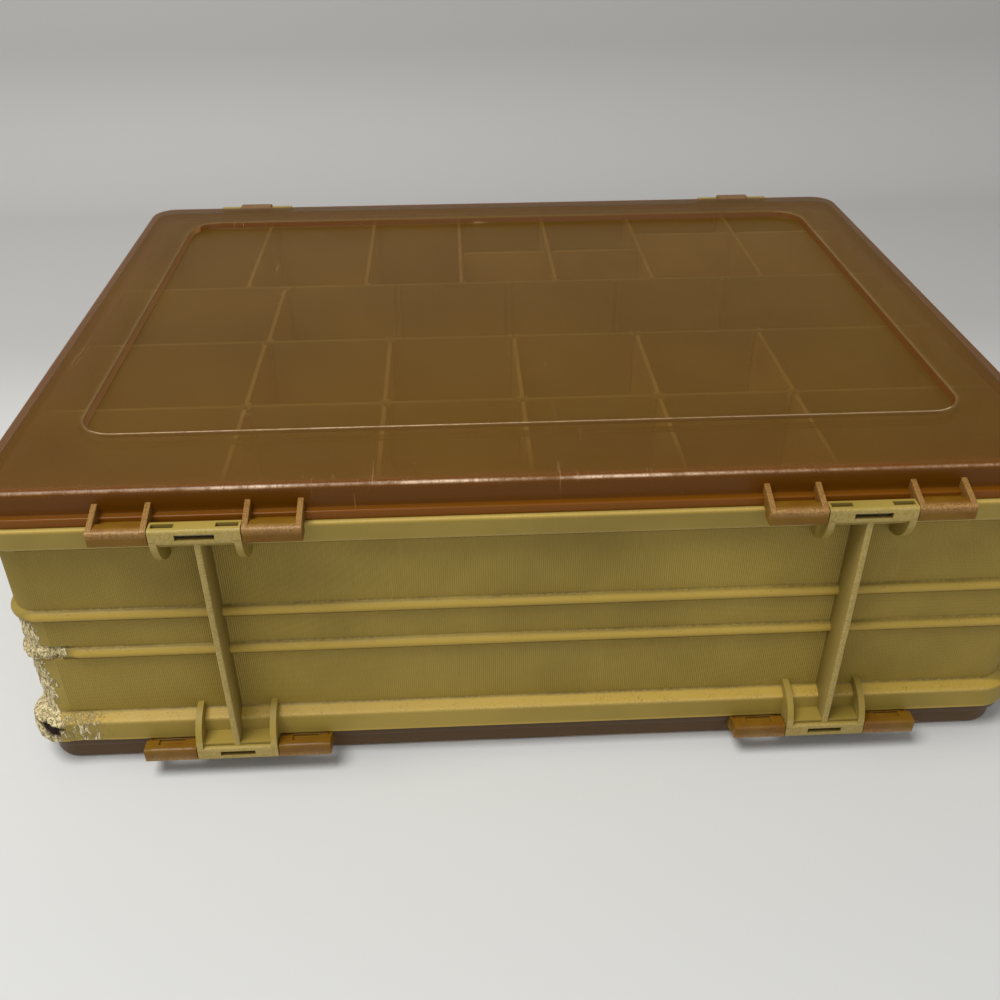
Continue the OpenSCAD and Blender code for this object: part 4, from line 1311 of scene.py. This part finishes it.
def handle_surface(handle):
    """A section swept along a U: straight arms, two round bends and the grip. The section is a
    round-cornered rectangle that swells from the arm's size to the grip's along the bends. Its width
    lies across the path, which is a quarter turn from the direction ahead, and its depth along Y."""
    r, x, low = handle.bend_r, handle.arm_x, -handle.reach
    arm = [[x, 0], [x, low + r + 8 * MM], [x, low + r + 3 * MM]]
    grip = [[x - r - run * MM, low] for run in (3, 8, 14)]
    middle = np.column_stack([np.linspace(grip[-1][0], 0, 7)[1:], np.full(6, low)])
    half = np.concatenate([arm, arc([x - r, low + r], r, 0, -90, 15), grip, middle])
    path = np.concatenate([half, half[-2::-1] * np.array([-1, 1])])
    ahead = np.gradient(path, axis=0)
    ahead[0], ahead[-1] = [0, -1], [0, 1]
    ahead /= np.linalg.norm(ahead, axis=1, keepdims=True)
    travelled = np.concatenate([[0], np.cumsum(np.linalg.norm(np.diff(path, axis=0), axis=1))])
    from_end = np.minimum(travelled, travelled[-1] - travelled)
    start = handle.reach - r - 4 * MM
    swell = smooth_step(from_end, start, start + r * math.pi / 2 + 14 * MM)
    width, depth = (handle.arm_w + swell * (full - handle.arm_w) for full in (handle.grip_h, handle.grip_d))
    section = rings(places([even(3)] * 4, [7] * 4),
                    np.column_stack([width, depth, (2 + 2 * swell) * MM, 0 * swell, 0 * swell]))
    points = np.empty_like(section)
    points[..., 0] = path[:, None, 0] + section[..., 0] * ahead[:, None, 1]
    points[..., 1] = FOLD[1] + section[..., 1]
    points[..., 2] = path[:, None, 1] - section[..., 0] * ahead[:, None, 0]
    eye_end = handle.arm_w / 2 + 0.02 * MM
    eye = bar(arc([0, 0], handle.eye_r, 0, 360, 33)[:-1], [-eye_end, eye_end])
    return joined([skin(points)] + [eye.moved(x=s * x, y=FOLD[1]) for s in (LEFT, RIGHT)])


def ears_surface(handle):
    """Two pairs of ears on the rear wall, round about the handle's pins"""
    outline = lobe(handle.eye_r, handle.out + EMBED)
    near = handle.arm_w / 2 + handle.side_play
    return joined([bar(outline, s * handle.arm_x + np.array(sorted([e * near, e * (near + handle.ear_t)])))
                   .moved(y=FOLD[1]) for s in (LEFT, RIGHT) for e in (LEFT, RIGHT)])


# ---- operators ----

class TACKLE_OT_tub(bpy.types.Operator):
    """Build the tub's skin, its ribbed bands and the tray walls"""
    bl_idname = "tackle.tub"
    bl_label = "Tub"

    def execute(self, context):
        scene = context.scene
        m, tub, wear = measures(scene), scene.tackle_tub, scene.tackle_wear
        make_piece("tub_skin", tub_surface(m, tub, wear), "tub", "tan", ["tub"],
                   marks=tub_marks(m, tub, wear), merge=False)
        plain = tub.bead_foot_r + tub.band_margin
        rim, over, under = m.rim_foot - plain, m.bead + tub.bead_r + plain, m.bead - tub.bead_r - plain
        spans = {"upper": (over, rim), "middle": (-under, under), "lower": (-rim, -over)}
        for name, span in spans.items():
            make_piece(f"ribbed_band_{name}", band_surface(m, tub, wear, *span), "tub", "tan", ["tub"],
                       merge=False)
        make_piece("tray_walls", tray_surface(m, tub), "tub", "tan", ["tub"], bevel=0.2 * MM)
        return {"FINISHED"}


class TACKLE_OT_hinge_posts(bpy.types.Operator):
    """Build the knuckles, arms, webs and fins on the tub's front"""
    bl_idname = "tackle.hinge_posts"
    bl_label = "Hinge posts"

    def execute(self, context):
        scene = context.scene
        m, tub, hinge = measures(scene), scene.tackle_tub, scene.tackle_hinge
        front = fin_front(m, hinge)
        fixed = post_surface(m, tub, hinge)
        marks = {"rubbed": lambda p: 0.85 * knuckle_front(p, m, hinge),
                 "hole": lambda p: slot_shade(p, m, hinge)}
        for face, side in FACES.items():
            make_piece(f"hinge_knuckles_{face}", fixed.on(side), "tub", "tan", POSTS,
                       bevel=0.25 * MM, marks=marks)
        # shade paints the fins' sides darker, as a painted shade
        marks = {"rubbed": lambda p: fade(p[:, 1], front + 0.5 * MM, front + 1.2 * MM),
                 "shade": lambda p: smooth_step(p[:, 1], front + 0.3 * MM, front + 1 * MM)}
        for seed, (end, side) in zip((60, 70), ENDS.items()):
            make_piece(f"fin_{end}", fin_surface(m, hinge, side * m.hinge_x, seed), "tub", "tan",
                       [f"hinge_post_{end}"], marks=marks)
        return {"FINISHED"}


class TACKLE_OT_lids(bpy.types.Operator):
    """Build both clear lids with their hinge brackets and latch lugs"""
    bl_idname = "tackle.lids"
    bl_label = "Lids"

    def execute(self, context):
        scene = context.scene
        m, tub, lid, hinge = measures(scene), scene.tackle_tub, scene.tackle_lid, scene.tackle_hinge
        shell, bracket = lid_surface(m, tub, lid), bracket_surface(m, hinge)
        lug = lug_surface(m, scene.tackle_handle)
        off = hinge.knuckle_l / 2 + hinge.gap + hinge.bracket_l / 2
        brackets = joined([bracket.moved(s * m.hinge_x + e * off, m.bar_y, m.hinge_h)
                           for s in (LEFT, RIGHT) for e in (LEFT, RIGHT)])
        lugs = joined([lug.moved(s * LATCH[0], LATCH[1], m.latch_h) for s in (LEFT, RIGHT)])
        rubbed = {"rubbed": lambda p: bracket_rubbed(p, m, hinge)}
        for face, side in FACES.items():
            lid_name = f"{face}_lid"
            make_piece(f"{lid_name}_shell", shell.on(side), lid_name, f"lid_{face}", [lid_name],
                       marks=lid_marks(m, tub, lid))
            make_piece(f"{lid_name}_brackets", brackets.on(side), lid_name, "bracket", [lid_name],
                       bevel=0.2 * MM, marks=rubbed)
            make_piece(f"{lid_name}_lugs", lugs.on(side), lid_name, "bracket", [lid_name],
                       bevel=0.4 * MM)
        return {"FINISHED"}


class TACKLE_OT_latches(bpy.types.Operator):
    """Build the four latches"""
    bl_idname = "tackle.latches"
    bl_label = "Latches"

    def execute(self, context):
        scene = context.scene
        m = measures(scene)
        latch = latch_surface(m, scene.tackle_tub, scene.tackle_handle)
        for face, up in FACES.items():
            for end, side in ENDS.items():
                name = f"latch_{face}_{end}"
                surface = latch.moved(side * LATCH[0], LATCH[1], m.latch_h).on(up)
                make_piece(f"{name}_plate", surface, name, "tan", [name], bevel=0.35 * MM)
        return {"FINISHED"}


class TACKLE_OT_handle(bpy.types.Operator):
    """Build the folding handle and the ears that carry it"""
    bl_idname = "tackle.handle"
    bl_label = "Handle"

    def execute(self, context):
        handle = context.scene.tackle_handle
        make_piece("handle_grip", handle_surface(handle), "handle", "tan", ["handle"], bevel=0.3 * MM)
        make_piece("handle_ear_pairs", ears_surface(handle), "tub", "tan", EARS, bevel=0.4 * MM)
        return {"FINISHED"}


class TACKLE_OT_small_parts(bpy.types.Operator):
    """Give the pins and the loose dividers their finishes"""
    bl_idname = "tackle.small_parts"
    bl_label = "Pins and dividers"

    def execute(self, context):
        dress(HINGE_PINS + LATCH_PINS + HANDLE_PINS, "steel")
        dress(ROW_A + ROW_B + ["divider_c1"] + ROW_D + SHORT + LOWER, "divider")
        return {"FINISHED"}


# Where the photograph was taken from: the camera's place, its turns in radians, and its lens
CAMERA_PLACE = Vector((-25.16, -435.23, 310.07)) * MM
CAMERA_DOWN, CAMERA_TURN, CAMERA_ROLL = 0.5891, -0.0450, -0.0059
CAMERA_LENS_MM, CAMERA_SENSOR_MM = 37.792, 36


def camera_matrix():
    """Right, up and back directions from the downward tilt, the turn about Z and the roll"""
    side = Vector((math.cos(CAMERA_TURN), math.sin(CAMERA_TURN), 0))
    level = Vector((-math.sin(CAMERA_TURN), math.cos(CAMERA_TURN), 0))
    plumb = Vector((0, 0, 1))
    forward = level * math.cos(CAMERA_DOWN) - plumb * math.sin(CAMERA_DOWN)
    upward = level * math.sin(CAMERA_DOWN) + plumb * math.cos(CAMERA_DOWN)
    right = side * math.cos(CAMERA_ROLL) + upward * math.sin(CAMERA_ROLL)
    up = upward * math.cos(CAMERA_ROLL) - side * math.sin(CAMERA_ROLL)
    turned = Matrix((right, up, -forward)).transposed().to_4x4()
    turned.translation = CAMERA_PLACE
    return turned


def area_light(name, place, target, size, watts):
    """A round lamp turned to its target"""
    data = bpy.data.lights.new(name, "AREA")
    data.shape, data.size, data.energy = "DISK", size, watts
    lamp = bpy.data.objects.new(name, data)
    lamp.location = place
    lamp.rotation_euler = (Vector(target) - Vector(place)).to_track_quat("-Z", "Y").to_euler()
    bpy.context.scene.collection.objects.link(lamp)


def backdrop_mesh(front, half_w, wall_y, wall_top, bend_r):
    """A floor that bends up to a wall: a line of [y, z] points carried along X"""
    line = np.concatenate([[[front, 0]], arc([wall_y - bend_r, bend_r], bend_r, -90, 0, 16),
                           [[wall_y, wall_top]]])
    count = len(line)
    points = np.concatenate([np.column_stack([np.full(count, x), line]) for x in (-half_w, half_w)])
    low = np.arange(count - 1)
    quads = np.stack([low, low + count, low + count + 1, low + 1], axis=-1)
    mesh = bpy.data.meshes.new("backdrop")
    mesh.from_pydata(points.tolist(), [], quads.tolist())
    mesh.shade_smooth()
    return mesh


class TACKLE_OT_stage(bpy.types.Operator):
    """Set up the floor, backdrop, lights and camera"""
    bl_idname = "tackle.stage"
    bl_label = "Stage"

    def execute(self, context):
        scene = context.scene
        mesh = backdrop_mesh(front=-3, half_w=2.4, wall_y=0.62, wall_top=2.2, bend_r=0.12)
        mesh.materials.append(stage_finish(scene.tackle_colours))
        backdrop = bpy.data.objects.new("backdrop", mesh)
        scene.collection.objects.link(backdrop)
        scene.world = scene.world or bpy.data.worlds.new("studio")
        scene.world.use_nodes = True
        sky = scene.world.node_tree.nodes["Background"]
        sky.inputs["Color"].default_value = (0.98, 0.99, 1.0, 1.0)
        sky.inputs["Strength"].default_value = 0.36
        area_light("overhead", place=(-0.5, -0.4, 1.35), target=(-0.05, 0, 0.05), size=0.8, watts=18)
        area_light("front_fill", place=(0.3, -1.4, 0.9), target=(0, -0.1, 0.06), size=1.0, watts=3)
        data = bpy.data.cameras.new("photo_camera")
        data.sensor_fit, data.sensor_width, data.lens = "HORIZONTAL", CAMERA_SENSOR_MM, CAMERA_LENS_MM
        data.clip_start = 0.01
        camera = bpy.data.objects.new("photo_camera", data)
        camera.matrix_world = camera_matrix()
        scene.collection.objects.link(camera)
        scene.camera = camera
        scene.view_settings.view_transform = "Standard"
        return {"FINISHED"}


STEPS = (TACKLE_OT_tub, TACKLE_OT_hinge_posts, TACKLE_OT_lids, TACKLE_OT_latches, TACKLE_OT_handle,
         TACKLE_OT_small_parts, TACKLE_OT_stage)
GROUPS = {"tackle_tub": TubSizes, "tackle_lid": LidSizes, "tackle_hinge": HingeSizes,
          "tackle_handle": HandleSizes, "tackle_wear": Wear, "tackle_colours": Colours}


class TACKLE_PT_panel(bpy.types.Panel):
    """Lists the box's steps and sizes"""
    bl_label = "Tackle Box"
    bl_space_type = "VIEW_3D"
    bl_region_type = "UI"
    bl_category = "Tackle Box"

    def draw(self, context):
        for step in STEPS:
            self.layout.operator(step.bl_idname)
        for group in GROUPS:
            sizes = getattr(context.scene, group)
            column = self.layout.box().column()
            for name in sizes.__annotations__:
                column.prop(sizes, name)


def register():
    for group in GROUPS.values():
        bpy.utils.register_class(group)
    for name, group in GROUPS.items():
        setattr(bpy.types.Scene, name, PointerProperty(type=group))
    for step in STEPS + (TACKLE_PT_panel,):
        bpy.utils.register_class(step)


def unregister():
    for step in reversed(STEPS + (TACKLE_PT_panel,)):
        bpy.utils.unregister_class(step)
    for name, group in GROUPS.items():
        delattr(bpy.types.Scene, name)
        bpy.utils.unregister_class(group)


def main():
    """Registers the classes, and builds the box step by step"""
    register()
    bpy.ops.tackle.tub()
    bpy.ops.tackle.hinge_posts()
    bpy.ops.tackle.lids()
    bpy.ops.tackle.latches()
    bpy.ops.tackle.handle()
    bpy.ops.tackle.small_parts()
    bpy.ops.tackle.stage()


if __name__ == "__main__":
    main()
